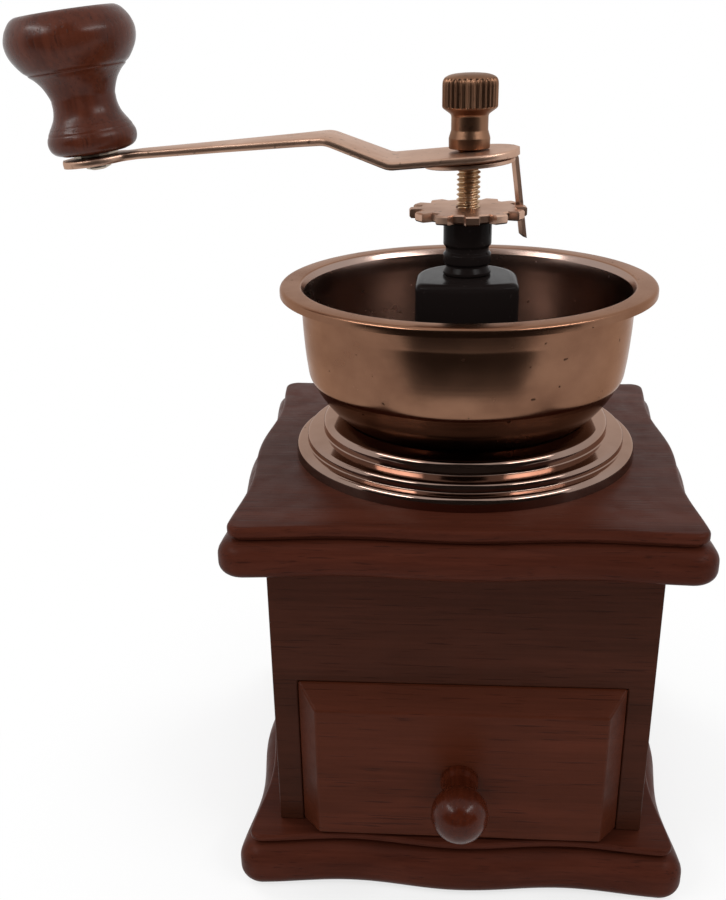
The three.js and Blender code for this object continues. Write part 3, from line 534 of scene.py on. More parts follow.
def piece(name, verts, faces, material, body, nodes=(), slot=None, smooth=SMOOTH_ANGLE):
    """A mesh object that rides on a body and stands for the nodes that it replaces."""
    made = mesh_object(name, verts, faces)
    clean(made.data, smooth)
    made.data.materials.append(materials[material])
    slot or material
    if nodes:
        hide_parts(*nodes)
    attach(made, body)
    return made


def clean(mesh, smooth=SMOOTH_ANGLE):
    """Joins doubled points, turns the faces outwards and shades them smooth up to an angle."""
    work = bmesh.new()
    work.from_mesh(mesh)
    bmesh.ops.remove_doubles(work, verts=work.verts, dist=1e-7)
    bmesh.ops.recalc_face_normals(work, faces=work.faces)
    work.to_mesh(mesh)
    work.free()
    mesh.shade_smooth()
    mesh.set_sharp_from_angle(angle=smooth)


def settle(made):
    """Turns a piece's modifiers into its mesh."""
    graph = bpy.context.evaluated_depsgraph_get()
    mesh = bpy.data.meshes.new_from_object(made.evaluated_get(graph), depsgraph=graph)
    made.modifiers.clear()
    made.data = mesh


def soften(made, width, segments=3, angle=SOFTEN_ANGLE):
    """Rounds the sharp edges of a piece."""
    bevel = made.modifiers.new("soft edges", "BEVEL")
    bevel.width = width
    bevel.segments = segments
    bevel.limit_method = "ANGLE"
    bevel.angle_limit = angle
    bevel.harden_normals = True
    settle(made)


def carve(made, *cutters):
    """Cuts solids, given as (verts, faces), out of a piece."""
    for verts, faces in cutters:
        cutter = mesh_object("cutter", verts, faces)
        clean(cutter.data)
        boolean = made.modifiers.new("cut", "BOOLEAN")
        boolean.operation = "DIFFERENCE"
        boolean.solver = "EXACT"
        boolean.object = cutter
        bpy.context.view_layer.update()
        settle(made)
        mesh = cutter.data
        bpy.data.objects.remove(cutter)
        bpy.data.meshes.remove(mesh)
    clean(made.data)


def stack(levels, loop=False):
    """Faces between rings, each of as many points as the first. The ends are capped, or joined in a loop."""
    count = len(levels[0])
    verts = [point for level in levels for point in level]
    faces = []
    for i in range(len(levels) if loop else len(levels) - 1):
        this, after = i * count, (i + 1) % len(levels) * count
        for j in range(count):
            k = (j + 1) % count
            faces.append((this + j, this + k, after + k, after + j))
    if not loop:
        faces.append(tuple(reversed(range(count))))
        faces.append(tuple(range((len(levels) - 1) * count, len(levels) * count)))
    return verts, faces


def moved(shape, matrix):
    """A shape, as (verts, faces), in another place."""
    verts, faces = shape
    return [matrix @ Vector(vert) for vert in verts], faces


def joined(*shapes):
    """Several shapes as one."""
    verts, faces = [], []
    for more_verts, more_faces in shapes:
        start = len(verts)
        verts += list(more_verts)
        faces += [tuple(start + i for i in face) for face in more_faces]
    return verts, faces


def box_shape(near, far):
    """A box from its lowest corner to its highest."""
    corners = ((near[0], near[1]), (far[0], near[1]), (far[0], far[1]), (near[0], far[1]))
    return stack([[(x, y, z) for x, y in corners] for z in (near[2], far[2])])


def polar(radius, angle, height=0):
    return radius * math.cos(angle), radius * math.sin(angle), height


def turned(profile, steps, loop=False, ripple=lambda angle, radius, height: 0):
    """A solid of revolution about Z from (radius, height) points. ripple moves its points out."""
    angles = [2 * math.pi * i / steps for i in range(steps)]
    return stack([[polar(radius + ripple(angle, radius, height), angle, height) for angle in angles]
                  for radius, height in profile], loop)


def turned_ring(profile, steps):
    """A ring of revolution about Z, whose profile closes on itself."""
    return turned(profile, steps, loop=True)


def rounded(points, steps=5, closed=False):
    """Corner points (x, y, radius) as a polyline whose corners are round."""
    path = []
    count = len(points)
    for i, (x, y, radius) in enumerate(points):
        here = Vector((x, y))
        if radius == 0 or (not closed and i in (0, count - 1)):
            path.append(tuple(here))
            continue
        before = Vector(points[i - 1][:2]) - here
        after = Vector(points[(i + 1) % count][:2]) - here
        half = before.angle(after) / 2
        if half > STRAIGHT_ANGLE:
            path.append(tuple(here))
            continue
        reach = min(radius / math.tan(half), before.length * CORNER_SHARE, after.length * CORNER_SHARE)
        start = here + before.normalized() * reach
        end = here + after.normalized() * reach
        for j in range(steps + 1):
            t = j / steps
            path.append(tuple((1 - t) ** 2 * start + 2 * t * (1 - t) * here + t ** 2 * end))
    return path


def between(p, q, r, s, t):
    """A Catmull-Rom value between q and r, for t from 0 to 1."""
    square = (2 * p - 5 * q + 4 * r - s) * t * t
    cube = (3 * q - p - 3 * r + s) * t ** 3
    return 0.5 * (2 * q + (r - p) * t + square + cube)


def flowing(points, steps):
    """A smooth curve through points."""
    ends = [points[0], *points, points[-1]]
    path = [tuple(between(*values, j / steps) for values in zip(*four))
            for four in zip(ends, ends[1:], ends[2:], ends[3:]) for j in range(steps)]
    return path + [tuple(points[-1])]


# Moulded plates

def wave_outline(half, corner, wave, height):
    """A square with waved sides and round corners, as points at one height."""
    def out(share):
        return half + wave * math.cos(math.pi * WAVES_PER_SIDE * share)

    reach = out(1) - corner
    points = []
    for side in range(4):
        turn = Matrix.Rotation(side * math.pi / 2, 3, "Z")
        for i in range(PLATE_SIDE_STEPS):
            share = 2 * i / PLATE_SIDE_STEPS - 1
            points.append(turn @ Vector((out(share), reach * share, height)))
        for i in range(PLATE_CORNER_STEPS):
            x, y, _ = polar(corner, math.pi / 2 * i / PLATE_CORNER_STEPS)
            points.append(turn @ Vector((reach + x, reach + y, height)))
    return points


def moulding(nose, step, height):
    """(inset, height) points up a plate's edge: a bullnose, a notch and a thin lip with a round edge."""
    radius = nose * NOSE_SHARE
    foot = nose * NOSE_FOOT_SHARE
    shares = [i / NOSE_STEPS for i in range(NOSE_STEPS + 1)]
    lower = [(foot * (1 - math.cos(a)), foot * (1 - math.sin(a)))
             for a in (math.pi / 2 * (1 - share) for share in shares)]
    stop = math.acos(1 - (step + NOTCH_DEPTH) / radius)
    upper = [(radius * (1 - math.cos(a)), nose - radius + radius * math.sin(a))
             for a in (stop * share for share in shares)]
    notch = upper[-1][1]
    lip = rounded([
        (step + NOTCH_DEPTH, notch + NOTCH_HEIGHT / 4, 0),
        (step + NOTCH_DEPTH, notch + NOTCH_HEIGHT * 0.7, 0.0003),
        (step, notch + NOTCH_HEIGHT, 0.0007), (step, height, LIP_ROUND), (step + 3 * LIP_ROUND, height, 0),
    ], steps=6)
    return lower + upper + lip


def plate_levels(bottom, nose, step, height, wave):
    return [wave_outline(PLATE_HALF - inset, max(PLATE_CORNER - inset, 0.001), wave, bottom + up)
            for inset, up in moulding(nose, step, height)]


def make_base():
    shape = stack(plate_levels(0, BASE_NOSE, BASE_STEP, base_top, BASE_WAVE))
    made = piece("base_plate_wood", *shape, "lid_wood", "mill", ["base_plate"])
    pilot = turned([(PILOT_RADIUS, -CUT_REACH), (PILOT_RADIUS, PILOT_DEPTH)], PILOT_STEPS)
    spots = [((low(name) + high(name)) / 2).to_2d().to_3d() for name in screw_names("base_screw")]
    carve(made, *[moved(pilot, Matrix.Translation(spot)) for spot in spots])


def screw_names(start):
    return [entry["node"] for entry in frame["record"]["subparts"] if entry["node"].startswith(start)]


def make_lid():
    """The lid board, whose inner levels line its round hole."""
    levels = plate_levels(body_top, LID_NOSE, LID_STEP, lid_top - body_top, LID_WAVE)
    angles = [math.atan2(point[1], point[0]) for point in levels[0]]
    for height in (lid_top, body_top):
        levels.append([polar(LID_HOLE, angle, height) for angle in angles])
    piece("lid_wood", *stack(levels, loop=True), "lid_wood", "mill", ["lid_board"])


# Box and drawer

def board(node, material, body, slot=None):
    """A plain board with soft edges, in the place of its solid."""
    made = piece(f"{node}_wood", *box_shape(low(node), high(node)), material, body, [node], slot)
    soften(made, BOARD_EDGE)


def make_panels():
    """The box's four sides, with the drawer's opening cut up from the front one's lower edge."""
    opening_top = high("drawer_front").z + DRAWER_GAP
    front, back = low("front_panel").y, high("front_panel").y
    outline = [(-body_half, base_top), (-panel_inner, base_top), (-panel_inner, opening_top),
               (panel_inner, opening_top), (panel_inner, base_top), (body_half, base_top),
               (body_half, body_top), (-body_half, body_top)]
    shape = stack([[(x, y, z) for x, z in outline] for y in (front, back)])
    soften(piece("front_panel_wood", *shape, "body_wood", "mill", ["front_panel"]), BOARD_EDGE)
    board("back_panel", "body_wood", "mill")
    for node in ("left_panel", "right_panel"):
        board(node, "side_wood", "mill", "body_wood")


def make_drawer_front():
    """The inset front, whose raised face is bevelled at its top and sides."""
    near, far = low("drawer_front"), high("drawer_front")
    face, outer, back = near.y, low("front_panel").y, far.y
    half, top, bottom = far.x + DRAWER_FILL, far.z + DRAWER_FILL, near.z

    def rectangle(inset, y):
        return [(-half + inset, y, bottom), (half - inset, y, bottom),
                (half - inset, y, top - inset), (-half + inset, y, top - inset)]

    shape = stack([rectangle(0, back), rectangle(0, outer), rectangle(DRAWER_BEVEL, face)])
    soften(piece("drawer_front_wood", *shape, "drawer_wood", "drawer", ["drawer_front"]),
           DRAWER_EDGE, angle=DRAWER_EDGE_ANGLE)


def make_drawer_box():
    for node, material in (("drawer_left_side", "plain_wood"), ("drawer_right_side", "plain_wood"),
                           ("drawer_back", "plain_wood_across"), ("drawer_bottom", "plain_wood")):
        board(node, material, "drawer", "plain_wood")


def make_drawer_knob():
    """A turned ball on a neck, pointing to -Y."""
    height = (low("drawer_knob").z + high("drawer_knob").z) / 2
    face = high("drawer_knob").y
    start = math.asin(BALL_NECK / BALL_RADIUS)
    angles = [start + (math.pi - start) * i / BALL_STEPS for i in range(BALL_STEPS + 1)]
    ball = [(BALL_RADIUS * math.sin(angle), BALL_REACH - BALL_RADIUS * math.cos(angle)) for angle in angles]
    ball[-1] = (TIP, ball[-1][1])
    foot = rounded([(BALL_FOOT, 0, 0), (BALL_FOOT, BALL_FOOT_HEIGHT, BALL_FOOT_ROUND),
                    (BALL_NECK * BALL_NECK_SHARE, BALL_NECK_HEIGHT, BALL_FOOT_ROUND),
                    (BALL_NECK, ball[0][1] - 2 * TIP, 0)], steps=4)
    place = Matrix.Translation((0, face, height)) @ Matrix.Rotation(math.pi / 2, 4, "X")
    shape = moved(turned(foot + ball, SMALL_STEPS), place)
    piece("drawer_ball_wood", *shape, "ball_wood", "drawer", ["drawer_knob"], "turned_wood", ROUND_FORM_ANGLE)


# Hopper

def make_collar():
    """Three round-edged rings that rise from the lid to the bowl, each with a top that slopes up inwards."""
    foot, inner = high("hopper_collar").x, BOWL_NECK + COLLAR_SLACK
    brim_top = lid_top + BRIM_HEIGHT
    step_top = brim_top + STEP_HEIGHT
    ring_top = step_top + TOP_STEP_HEIGHT
    brim_far = brim_top + RING_SLOPE * (BRIM_RADIUS - RING_ROUND - STEP_RADIUS)
    step_far = step_top + RING_SLOPE * (STEP_RADIUS - RING_ROUND - TOP_STEP_RADIUS)
    sheet = COLLAR_SHEET
    rings = [(BRIM_RADIUS, brim_top, RING_ROUND), (STEP_RADIUS, brim_far, RING_VALLEY),
             (STEP_RADIUS, step_top, RING_ROUND), (TOP_STEP_RADIUS, step_far, RING_VALLEY),
             (TOP_STEP_RADIUS, ring_top, RING_ROUND)]
    outside = rounded([(foot, lid_top, 0), *rings, (inner, collar_top, 0)], steps=7)
    inside = [(radius - sheet, height - sheet) for radius, height, _ in rings[::-1]]
    profile = [*outside, (inner, collar_top - sheet), *inside, (foot - sheet, lid_top)]
    piece("hopper_collar_sheet", *turned_ring(profile, HOPPER_STEPS), "collar_bronze", "mill",
          ["hopper_collar"], "bronze")


def make_bowl():
    """The spun bowl: a curved wall, a flat lip and an edge rolled down."""
    opening = rim_radius - RIM_WIDTH
    under = collar_top + SEAT_GAP
    rise = rim_top - collar_top
    shares = [(0.036, 0.765), (0.076, 0.797), (0.116, 0.824), (0.156, 0.849), (0.196, 0.87), (0.236, 0.889),
              (0.283, 0.91), (0.33, 0.928), (0.4, 0.937), (0.5, 0.946), (0.664, 0.955), (0.798, 0.959)]
    wall = [(opening * out, under + rise * up) for up, out in shares]
    floor_top = floor_under + SHEET
    wall_top = wall[-1][0]
    outer = flowing([(BOWL_NECK, under), *wall], 5)
    inner = [(radius - SHEET, height + SHEET * 0.5) for radius, height in flowing(wall, 5)][::-1]
    lip = rounded([
        (wall_top + 0.0002, rim_top - RIM_DEPTH, 0), (wall_top + 0.0003, rim_top - SHEET, RIM_FILLET),
        (rim_radius - SHEET, rim_top - SHEET, 0.0004), (rim_radius - SHEET, rim_top - RIM_ROLL, 0),
        (rim_radius, rim_top - RIM_ROLL, 0), (rim_radius, rim_top, RIM_ROUND_OUT),
        (wall_top + 0.0002, rim_top, RIM_ROUND_IN), (wall_top - SHEET + 0.0003, rim_top - RIM_FLARE, 0.0006),
        (wall_top - SHEET, rim_top - RIM_WIDTH, 0),
    ])
    profile = [(BOWL_FLOOR_HOLE, floor_under), (BOWL_NECK, floor_under), *outer, *lip, *inner,
               (BOWL_NECK - SHEET, under + SHEET / 2), (BOWL_NECK - SHEET, floor_top),
               (BOWL_FLOOR_HOLE, floor_top)]
    piece("hopper_bowl_sheet", *turned_ring(profile, HOPPER_STEPS), "bronze", "mill", ["hopper_bowl"])


# Bridge and bearing

def bridge_outline(inset, height):
    """Plan of the bridge: a round back, straight sides and a bowed front with round corners."""
    half = high("bridge").x - inset
    front = BRIDGE_FRONT - inset
    arc_steps, bow_steps = 32, 20
    points = [polar(half, math.pi * i / arc_steps) for i in range(arc_steps + 1)]
    corner = max(BRIDGE_CORNER - inset, BRIDGE_CORNER / 4)
    bowed = [(half * share, -front - BRIDGE_BOW * (1 - share * share), 0)
             for share in (2 * i / bow_steps - 1 for i in range(1, bow_steps))]
    inner = [point for point in bowed if abs(point[0]) < half - corner * 1.5]
    points += [(-half, -front, corner), *inner, (half, -front, corner)]
    return [(x, y, height) for x, y in rounded(points, steps=8, closed=True)]


def make_bridge():
    """The bridge, hollow below and open at both sides, and its two feet."""
    bottom, top = low("bridge").z, bridge_top
    rise = rounded([(0, bottom, 0), (0, top, BRIDGE_EDGE), (3 * BRIDGE_EDGE, top, 0)], steps=8)
    # The upper outlines have up to 4 points more than the first, so stack's rings run on round the top edge.
    outer = [bridge_outline(inset, height) for inset, height in rise]
    ends = bottom - CUT_REACH, top - BRIDGE_WALL
    plug = stack([bridge_outline(BRIDGE_WALL, height) for height in ends])
    reach = high("bridge").x + 2 * CUT_REACH
    window = box_shape((-reach, -BRIDGE_FRONT + BRIDGE_WALL, bottom - CUT_REACH),
                       (reach, WINDOW_BACK, top - BRIDGE_HEAD_ROOM))
    made = piece("bridge_enamelled", *stack(outer), "black_enamel", "mill", ["bridge"])
    carve(made, plug, window)
    spans = (low("bridge").y, -BRIDGE_FRONT + FOOT_EDGE), (REAR_FOOT_START, high("bridge").y)
    feet = [box_shape((-FOOT_HALF, near, bottom), (FOOT_HALF, far, bottom + BRIDGE_WALL))
            for near, far in spans]
    soften(piece("bridge_feet", *joined(*feet), "black_enamel", "mill"), FOOT_EDGE)


def make_bearing():
    """The turned tube over the bridge, with its rings and grooves."""
    bottom = low("bearing_tube").z
    seat = bridge_top + SEAT_GAP
    radius = high("bearing_tube").x
    rings = [(out or radius, seat + up, corner) for out, up, corner in TUBE_RINGS]
    profile = rounded([
        (TUBE_SHANK, bottom, 0), (TUBE_SHANK, seat, 0.0002), *rings, (radius, tube_top, TUBE_ROUND),
        (TUBE_BORE, tube_top, 0), (TUBE_BORE, bottom, 0),
    ])
    shape = turned_ring(profile, TUBE_STEPS)
    piece("bearing_tube_enamelled", *shape, "black_enamel", "mill", ["bearing_tube"])


# Spindle, disc and crank

def make_spindle():
    """A rod with a real thread from above the bearing to its top."""
    bottom, top = low("spindle").z, high("spindle").z
    shoulder = high("spindle").x
    shoulder_top = SHOULDER_FOOT + SHOULDER_HEIGHT
    rod = turned(rounded([
        (SHAFT_END, bottom, 0), (SHAFT_RADIUS, bottom + SHAFT_CHAMFER, 0), (SHAFT_RADIUS, SHOULDER_FOOT, 0),
        (shoulder, SHOULDER_FOOT, SHOULDER_EDGE), (shoulder, shoulder_top, SHOULDER_EDGE),
        (SHAFT_RADIUS, shoulder_top, 0), (SHAFT_RADIUS, THREAD_START, 0),
    ]), ROD_STEPS)
    rings = int((top - THREAD_START) / THREAD_PITCH * THREAD_RINGS)
    levels = []
    for i in range(rings + 1):
        height = THREAD_START + (top - THREAD_START) * i / rings
        fade = min(1.0, i / THREAD_RINGS, (rings - i) / THREAD_RINGS)
        level = []
        for j in range(ROD_STEPS):
            angle = 2 * math.pi * j / ROD_STEPS
            phase = (height / THREAD_PITCH - j / ROD_STEPS) % 1
            crest = min(1.0, max(0.0, THREAD_CREST - abs(phase - 0.5) * THREAD_FLANK))
            radius = SHAFT_RADIUS - THREAD_DEPTH * (1 - crest) * fade
            level.append(polar(radius, angle, height))
        levels.append(level)
    piece("spindle_threaded", *joined(rod, stack(levels)), "spindle_steel", "crank", ["spindle"],
          smooth=THREAD_ANGLE)


def finger_bearing():
    """Direction of the clip's finger where it passes the disc, which the crank's tilt moves outwards."""
    drop = arm_top - (low("grind_disc").z + high("grind_disc").z) / 2
    out = CLIP_REACH - CLIP_THICKNESS / 2 + drop * math.sin(FINGER_LEAN)
    return math.atan2(out * math.sin(CLIP_TURN), out * math.cos(CLIP_TURN) + drop * math.sin(CRANK_TILT))


def make_disc():
    """The grind disc, with wide teeth, round notches and softened edges."""
    bottom, top = low("grind_disc").z, high("grind_disc").z
    outer = high("grind_disc").x - DISC_TRIM
    bore = SHAFT_RADIUS + DISC_SLACK
    samples = DISC_TEETH * STEPS_PER_TOOTH
    bearing = finger_bearing()
    angles = [bearing + 2 * math.pi * i / samples for i in range(samples)]

    def outline(inset, height):
        points = []
        for i, angle in enumerate(angles):
            phase = (i / samples * DISC_TEETH + 0.5) % 1 - 0.5
            inside = 1 - min(1, max(0, (abs(phase) - DISC_NOTCH_HALF) / DISC_FLANK))
            ease = inside * inside * (3 - 2 * inside)
            points.append(polar(outer - (outer - DISC_VALLEY) * ease - inset, angle, height))
        return points

    levels = [outline(DISC_EDGE, bottom), outline(0, bottom + DISC_EDGE), outline(0, top - DISC_EDGE),
              outline(DISC_EDGE, top)]
    hole = [[polar(bore, angle, height) for angle in angles] for height in (top, bottom)]
    shape = stack(levels + hole, loop=True)
    piece("grind_disc_plated", *shape, "arm_bronze", "disc", ["grind_disc"], "bronze")


def arm_centre_line():
    """(x, z) points along the strip's top, from the hub's end to the pad's end."""
    end = PAD_CENTRE + PAD_RADIUS
    drop = (end - PAD_BEND) * math.tan(PAD_TILT)
    corners = [(HUB_RADIUS, 0, 0), (-FIRST_BEND, 0, BEND_RADIUS), (-SECOND_BEND, ARM_RISE, UPPER_BEND_RADIUS),
               (-PAD_BEND, ARM_RISE, PAD_BEND_RADIUS), (-end, ARM_RISE - drop, 0)]
    path = rounded(corners, steps=8)
    dense = []
    for (x0, z0), (x1, z1) in zip(path, path[1:]):
        pieces = max(1, round(math.hypot(x1 - x0, z1 - z0) / ARM_STEP))
        dense += [(x0 + (x1 - x0) * i / pieces, z0 + (z1 - z0) * i / pieces) for i in range(pieces)]
    return dense + [path[-1]]


def arm_half_width(x):
    """Half the arm's width at x: a round hub, a taper and a round pad."""
    if x > 0:
        return math.sqrt(max(HUB_RADIUS ** 2 - x * x, 0))
    for (near, wide), (far, narrow) in zip(ARM_TAPER, ARM_TAPER[1:]):
        if near <= -x <= far:
            half = wide + (narrow - wide) * (-x - near) / (far - near)
    pad = math.sqrt(max(PAD_RADIUS ** 2 - (-x - PAD_CENTRE) ** 2, 0))
    return pad if -x > PAD_CENTRE else max(half, pad)


def direction(path, i):
    """The way that a path of (x, z) points goes at its point i."""
    x0, z0 = path[max(i - 1, 0)]
    x1, z1 = path[min(i + 1, len(path) - 1)]
    return Vector((x1 - x0, z1 - z0)).normalized()


def make_arm():
    """The bent strip, as sections across its centre line with softly rounded edges."""
    path = arm_centre_line()
    sections = []
    for i, (x, z) in enumerate(path):
        along = direction(path, i)
        down = Vector((-along.y, along.x))
        half = max(arm_half_width(x), ARM_EDGE)
        corners = (-half, 0), (-half, ARM_THICKNESS), (half, ARM_THICKNESS), (half, 0)
        outline = rounded([(*corner, ARM_EDGE) for corner in corners], steps=4, closed=True)
        sections.append([(x + down.x * depth, y, z + down.y * depth) for y, depth in outline])
    shape = moved(stack(sections), crank_frame)
    piece("crank_arm_plated", *shape, "arm_bronze", "crank", ["crank_arm"], "bronze")


def make_clip():
    """A plate under the hub, with a finger bent down through a notch of the disc."""
    top = -ARM_THICKNESS - CLIP_GAP
    bottom = top - CLIP_THICKNESS
    bore = SHAFT_RADIUS + CLIP_SLACK
    plate_shape = turned_ring(rounded([
        (bore, bottom, 0), (CLIP_RADIUS, bottom, CLIP_ROUND), (CLIP_RADIUS, top, CLIP_ROUND), (bore, top, 0),
    ]), SMALL_STEPS)
    lean = Vector((math.sin(FINGER_LEAN), 0, -math.cos(FINGER_LEAN)))
    path = rounded([(CLIP_RADIUS - TONGUE_OVERLAP, top, 0), (CLIP_REACH, top, CLIP_BEND),
                    (CLIP_REACH + lean.x * FINGER_LENGTH, top + lean.z * FINGER_LENGTH, 0)], steps=8)
    sections = []
    for i, (x, z) in enumerate(path):
        along = direction(path, i)
        side = Vector((along.y, -along.x))
        slant = FINGER_SLANT if i == len(path) - 1 else 0
        inner = Vector((x, z)) + side * CLIP_THICKNESS - along * slant
        sections.append([(x, -FINGER_HALF, z), (x, FINGER_HALF, z), (inner.x, FINGER_HALF, inner.y),
                         (inner.x, -FINGER_HALF, inner.y)])
    finger = moved(stack(sections), Matrix.Rotation(CLIP_TURN, 4, "Z"))
    made = piece("lock_clip_plated", *moved(joined(plate_shape, finger), crank_frame), "arm_bronze",
                 "crank", ["lock_clip"], "bronze")
    soften(made, CLIP_EDGE, 2)


def make_cap():
    """The ribbed cap nut: a foot, a waist, a flare, a ribbed band and a low dome."""
    bottom, top = low("cap_nut").z, high("cap_nut").z
    height = top - bottom

    def at(share):
        return bottom + height * share

    def ribs(angle, radius, level):
        ease = min(1.0, max(0.0, (radius - CAP_RADIUS + CAP_FLUTE * 1.6) / CAP_FLUTE))
        if not at(CAP_RIDGE_SHARES[0]) < level < at(CAP_RIDGE_SHARES[1]):
            return 0
        return -CAP_FLUTE * ease * abs(math.sin(CAP_RIDGES * angle / 2)) ** CAP_FLUTE_SHARPNESS

    lower = rounded([
        (CAP_BORE, at(0), 0), (CAP_FOOT, at(0), 0.0003), (CAP_FOOT + 0.00005, at(0.14), 0.0008),
        (CAP_WAIST, at(0.25), 0.0015), (CAP_WAIST, at(0.455), 0.0012), (CAP_RADIUS, at(0.545), 0.0009),
        (CAP_RADIUS, at(0.84), 0),
    ], steps=6)
    dome = flowing([(CAP_RADIUS, at(0.85)), (CAP_RADIUS * 0.975, at(0.905)), (CAP_RADIUS * 0.88, at(0.95)),
                    (CAP_RADIUS * 0.66, at(0.982)), (CAP_RADIUS * 0.35, at(0.996)), (2 * TIP, at(1))], 4)
    shape = turned(lower + dome, CAP_RIDGES * 8, ripple=ribs)
    piece("cap_nut_plated", *shape, "dark_bronze", "crank", ["cap_nut"], smooth=CAP_ANGLE)


def make_grip():
    """The turned wooden knob, with two fine beads over its foot and a groove under its head."""
    foot = [(0.7, 0), (0.86, 0.018), (0.95, 0.045), (0.99, 0.08), (0.995, 0.115), (0.97, 0.145)]
    beads = [(0.948, 0.158), (0.935, 0.172), (0.912, 0.186), (0.893, 0.196), (0.875, 0.208), (0.838, 0.226)]
    waist = [(1.06, 0.275), (1, 0.33), (0.992, 0.38), (1.008, 0.42), (1.149, 0.5), (1.327, 0.557)]
    head = [(0.755, 0.592), (0.762, 0.602), (0.834, 0.63), (0.939, 0.7), (0.992, 0.757), (1.01, 0.81),
            (1, 0.857), (0.954, 0.914), (0.887, 0.96), (0.832, 0.985), (0.77, 1)]
    points = []
    for radius, shares in ((GRIP_FOOT, foot + beads), (GRIP_WAIST, waist), (GRIP_HEAD, head)):
        points += [(radius * out, GRIP_START + GRIP_HEIGHT * up) for out, up in shares]
    top = GRIP_START + GRIP_HEIGHT
    recess = rounded([(points[-1][0], top, 0), (PIN_RECESS, top, PIN_RECESS_ROUND),
                      (PIN_RECESS, top - PIN_RECESS_DEPTH, 0), (GRIP_BORE, top - PIN_RECESS_DEPTH, 0)])
    profile = [(GRIP_BORE, GRIP_START), *flowing(points, 5), *recess]
    shape = moved(turned_ring(profile, GRIP_STEPS), knob_frame)
    piece("crank_knob_wood", *shape, "turned_wood", "knob", ["crank_knob"], smooth=ROUND_FORM_ANGLE)


# Fasteners

def slotted_screw(node, head_up):
    """A wood screw with a domed, slotted head and a thread that tapers to its point."""
    near, far = low(node), high(node)
    middle = (near + far) / 2
    length = far.z - near.z
    head = (far.x - near.x) / 2
    core = head * SCREW_CORE_SHARE
    under = length - SCREW_HEAD
    dome = rounded([(core, under, 0), (head, under, 0.0002), (head, length - SCREW_HEAD_RIM, 0.0006),
                    (head * 0.5, length, 0.002), (TIP, length, 0)])
    shank = []
    for i in range(SCREW_RINGS):
        height = (under - TIP) * i / (SCREW_RINGS - 1)
        ridge = SCREW_RIDGE if i % 2 else 0
        shank.append((max(min(core, height * SCREW_TAPER), TIP) + ridge, height))
    reach = head * 1.2
    slot = box_shape((-reach, -SLOT_HALF, length - SLOT_DEPTH), (reach, SLOT_HALF, length + SLOT_REACH))
    made = piece(f"{node}_slotted", *turned(shank + dome, SCREW_STEPS), "steel", "mill", [node])
    carve(made, slot)
    flip = Matrix.Identity(4) if head_up else Matrix.Rotation(math.pi, 4, "X")
    foot = near.z if head_up else far.z
    made.data.transform(Matrix.Translation((middle.x, middle.y, foot)) @ flip)


def make_screws():
    for start, head_up in (("bridge_screw", True), ("hopper_screw", True), ("base_screw", False)):
        for name in screw_names(start):
            slotted_screw(name, head_up)


def dress_carried_nodes():
    """Gives every node that stays the procedural material of its slot."""
    for entry in frame["record"]["subparts"]:
        made = frame["nodes"][entry["node"]]
        for place in made.material_slots:
            place.material = materials[entry["material_slot"]]


# Stage, light and camera

CAMERA_PLACE = (-0.004379, -0.311603, 0.232362)
CAMERA_YAW = math.radians(-5.152)
CAMERA_PITCH = math.radians(24.884)
CAMERA_ROLL = math.radians(-1.343)
IMAGE_WIDTH = 726
IMAGE_HEIGHT = 900
FOCAL_PIXELS = 1124.448
CENTRE_COLUMN = 355.209
CENTRE_ROW = 525.170

WORLD_LEVEL = 0.42
FLOOR_HALF = 4.0
FLOOR_SHADE = (0.06, 0.7)
FLOOR_WHITE = (0.16, 1.0)
CARD_RADIUS = 0.8
CARD_STEPS = 24
# Dark cards round the front, which only reflections show: radius, height and half the angle in degrees.
CARDS = {
    "floor_card": [(0.3, 0.004, 34), (CARD_RADIUS, 0.004, 54)],
    "front_card": [(CARD_RADIUS, 0, 68), (CARD_RADIUS, 0.35, 64), (CARD_RADIUS, 0.5, 46)],
    "upper_card": [(CARD_RADIUS, 0.5, 46), (0.7, 0.72, 22), (0.5, 0.92, 6)],
}
# Lamps: place, point that it aims at, size, watts, and whether reflections show it.
LAMPS = {
    "rear_left": ((-0.55, 0.35, 0.55), (0, 0, 0.1), (0.4, 0.4), 2.4, False),
    "rear_right": ((0.55, 0.35, 0.55), (0, 0, 0.1), (0.4, 0.4), 2.4, False),
    "left_box": ((-0.53, -0.32, 0.64), (0, 0, 0.12), (0.5, 0.095), 2.0, True),
    "right_box": ((0.53, -0.32, 0.64), (0, 0, 0.12), (0.5, 0.095), 2.0, True),
    "front_fill": ((0, -1.1, 0.35), (0, 0, 0.06), (0.8, 0.4), 2.7, False),
}


def make_camera():
    """The photograph's camera, with its lens shifted as in a crop of a larger picture."""
    ahead = math.cos(CAMERA_PITCH)
    forward = Vector((math.sin(CAMERA_YAW) * ahead, math.cos(CAMERA_YAW) * ahead, -math.sin(CAMERA_PITCH)))
    level = Vector((math.cos(CAMERA_YAW), -math.sin(CAMERA_YAW), 0))
    above = level.cross(forward)
    right = level * math.cos(CAMERA_ROLL) + above * math.sin(CAMERA_ROLL)
    up = above * math.cos(CAMERA_ROLL) - level * math.sin(CAMERA_ROLL)
    data = bpy.data.cameras.new("camera")
    data.sensor_width = 36
    data.lens = FOCAL_PIXELS / IMAGE_HEIGHT * data.sensor_width
    data.shift_x = (IMAGE_WIDTH / 2 - CENTRE_COLUMN) / IMAGE_HEIGHT
    data.shift_y = (CENTRE_ROW - IMAGE_HEIGHT / 2) / IMAGE_HEIGHT
    data.clip_start = 0.01
    turn = Matrix((right, up, -forward)).transposed()
    scene.camera = new_object("camera", data)
    scene.camera.matrix_world = Matrix.Translation(CAMERA_PLACE) @ turn.to_4x4()


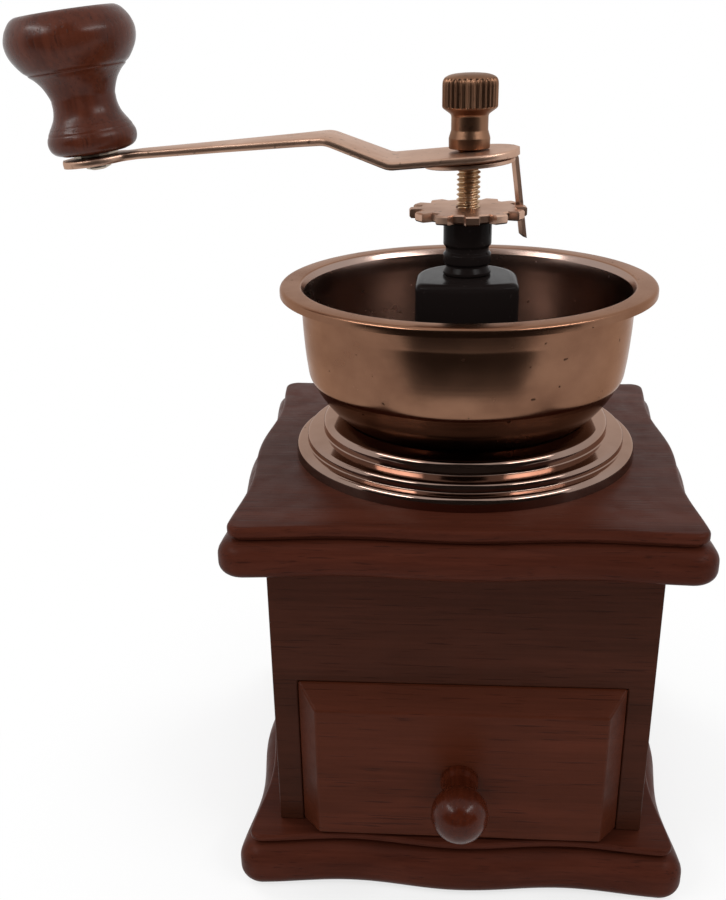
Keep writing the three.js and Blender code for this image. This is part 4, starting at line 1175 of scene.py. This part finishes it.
def make_lamp(name, place, aim, size, power, reflected):
    data = bpy.data.lights.new(name, "AREA")
    data.shape = "RECTANGLE"
    data.size, data.size_y = size
    data.energy = power
    made = new_object(name, data)
    made.location = place
    made.rotation_euler = (Vector(aim) - Vector(place)).to_track_quat("-Z", "Y").to_euler()
    made.visible_glossy = reflected


def make_world():
    """A white background, also in glass and metal, and softer light from all round."""
    scene.world = bpy.data.worlds.new("studio")
    graph = Graph(scene.world)
    level = graph.node("MapRange", Value=graph.seen(), To_Min=WORLD_LEVEL, To_Max=1.0)
    background = graph.tree.nodes["Background"]
    graph.feed(background, "Color", (1, 1, 1, 1))
    graph.feed(background, "Strength", level.outputs["Result"])


def make_floor():
    """A pale floor that keeps the shadow near the mill and turns white farther out."""
    corners = [(-1, -1), (1, -1), (1, 1), (-1, 1)]
    floor = mesh_object("floor", [(x * FLOOR_HALF, y * FLOOR_HALF, 0) for x, y in corners], [(0, 1, 2, 3)])
    graph = material_graph("floor")
    distance = graph.length(graph.node("TexCoord").outputs["Object"])
    (shade_radius, shade), (white_radius, white) = FLOOR_SHADE, FLOOR_WHITE
    far = graph.curve(distance, shade_radius, white_radius, shade, white)
    shown = graph.math("MULTIPLY", far, graph.seen())
    glow = graph.node("Emission", Color=(1, 1, 1, 1), Strength=1.0)
    graph.finish(Base_Color=(0.9, 0.9, 0.9, 1), Roughness=0.9)
    mix = graph.node("MixShader", Fac=shown, i1=graph.shader.outputs[0], i2=glow.outputs[0])
    graph.feed(graph.tree.nodes["Material Output"], "Surface", mix.outputs[0])
    floor.data.materials.append(graph.owner)


def make_card(name, levels):
    """A dark band round the front of the mill, which only reflections show."""
    verts = []
    for radius, height, half_angle in levels:
        for i in range(CARD_STEPS + 1):
            angle = math.radians(half_angle) * (2 * i / CARD_STEPS - 1)
            verts.append((radius * math.sin(angle), -radius * math.cos(angle), height))
    row = CARD_STEPS + 1
    starts = [level * row + i for level in range(len(levels) - 1) for i in range(CARD_STEPS)]
    card = mesh_object(name, verts, [(i, i + 1, i + row + 1, i + row) for i in starts])
    graph = material_graph(name)
    graph.finish(Base_Color=(0.035, 0.03, 0.028, 1), Roughness=1.0, Specular_IOR_Level=0.0)
    card.data.materials.append(graph.owner)
    for ray in ("camera", "diffuse", "shadow", "transmission"):
        setattr(card, f"visible_{ray}", False)


def make_stage():
    scene.view_settings.view_transform = "Standard"
    make_camera()
    make_world()
    make_floor()
    for name, settings in LAMPS.items():
        make_lamp(name, *settings)
    for name, levels in CARDS.items():
        make_card(name, levels)


for make in (dress_carried_nodes, make_base, make_lid, make_panels, make_drawer_front, make_drawer_box,
             make_drawer_knob, make_collar, make_bowl, make_bridge, make_bearing, make_spindle, make_disc,
             make_arm, make_clip, make_cap, make_grip, make_screws, make_stage):
    make()
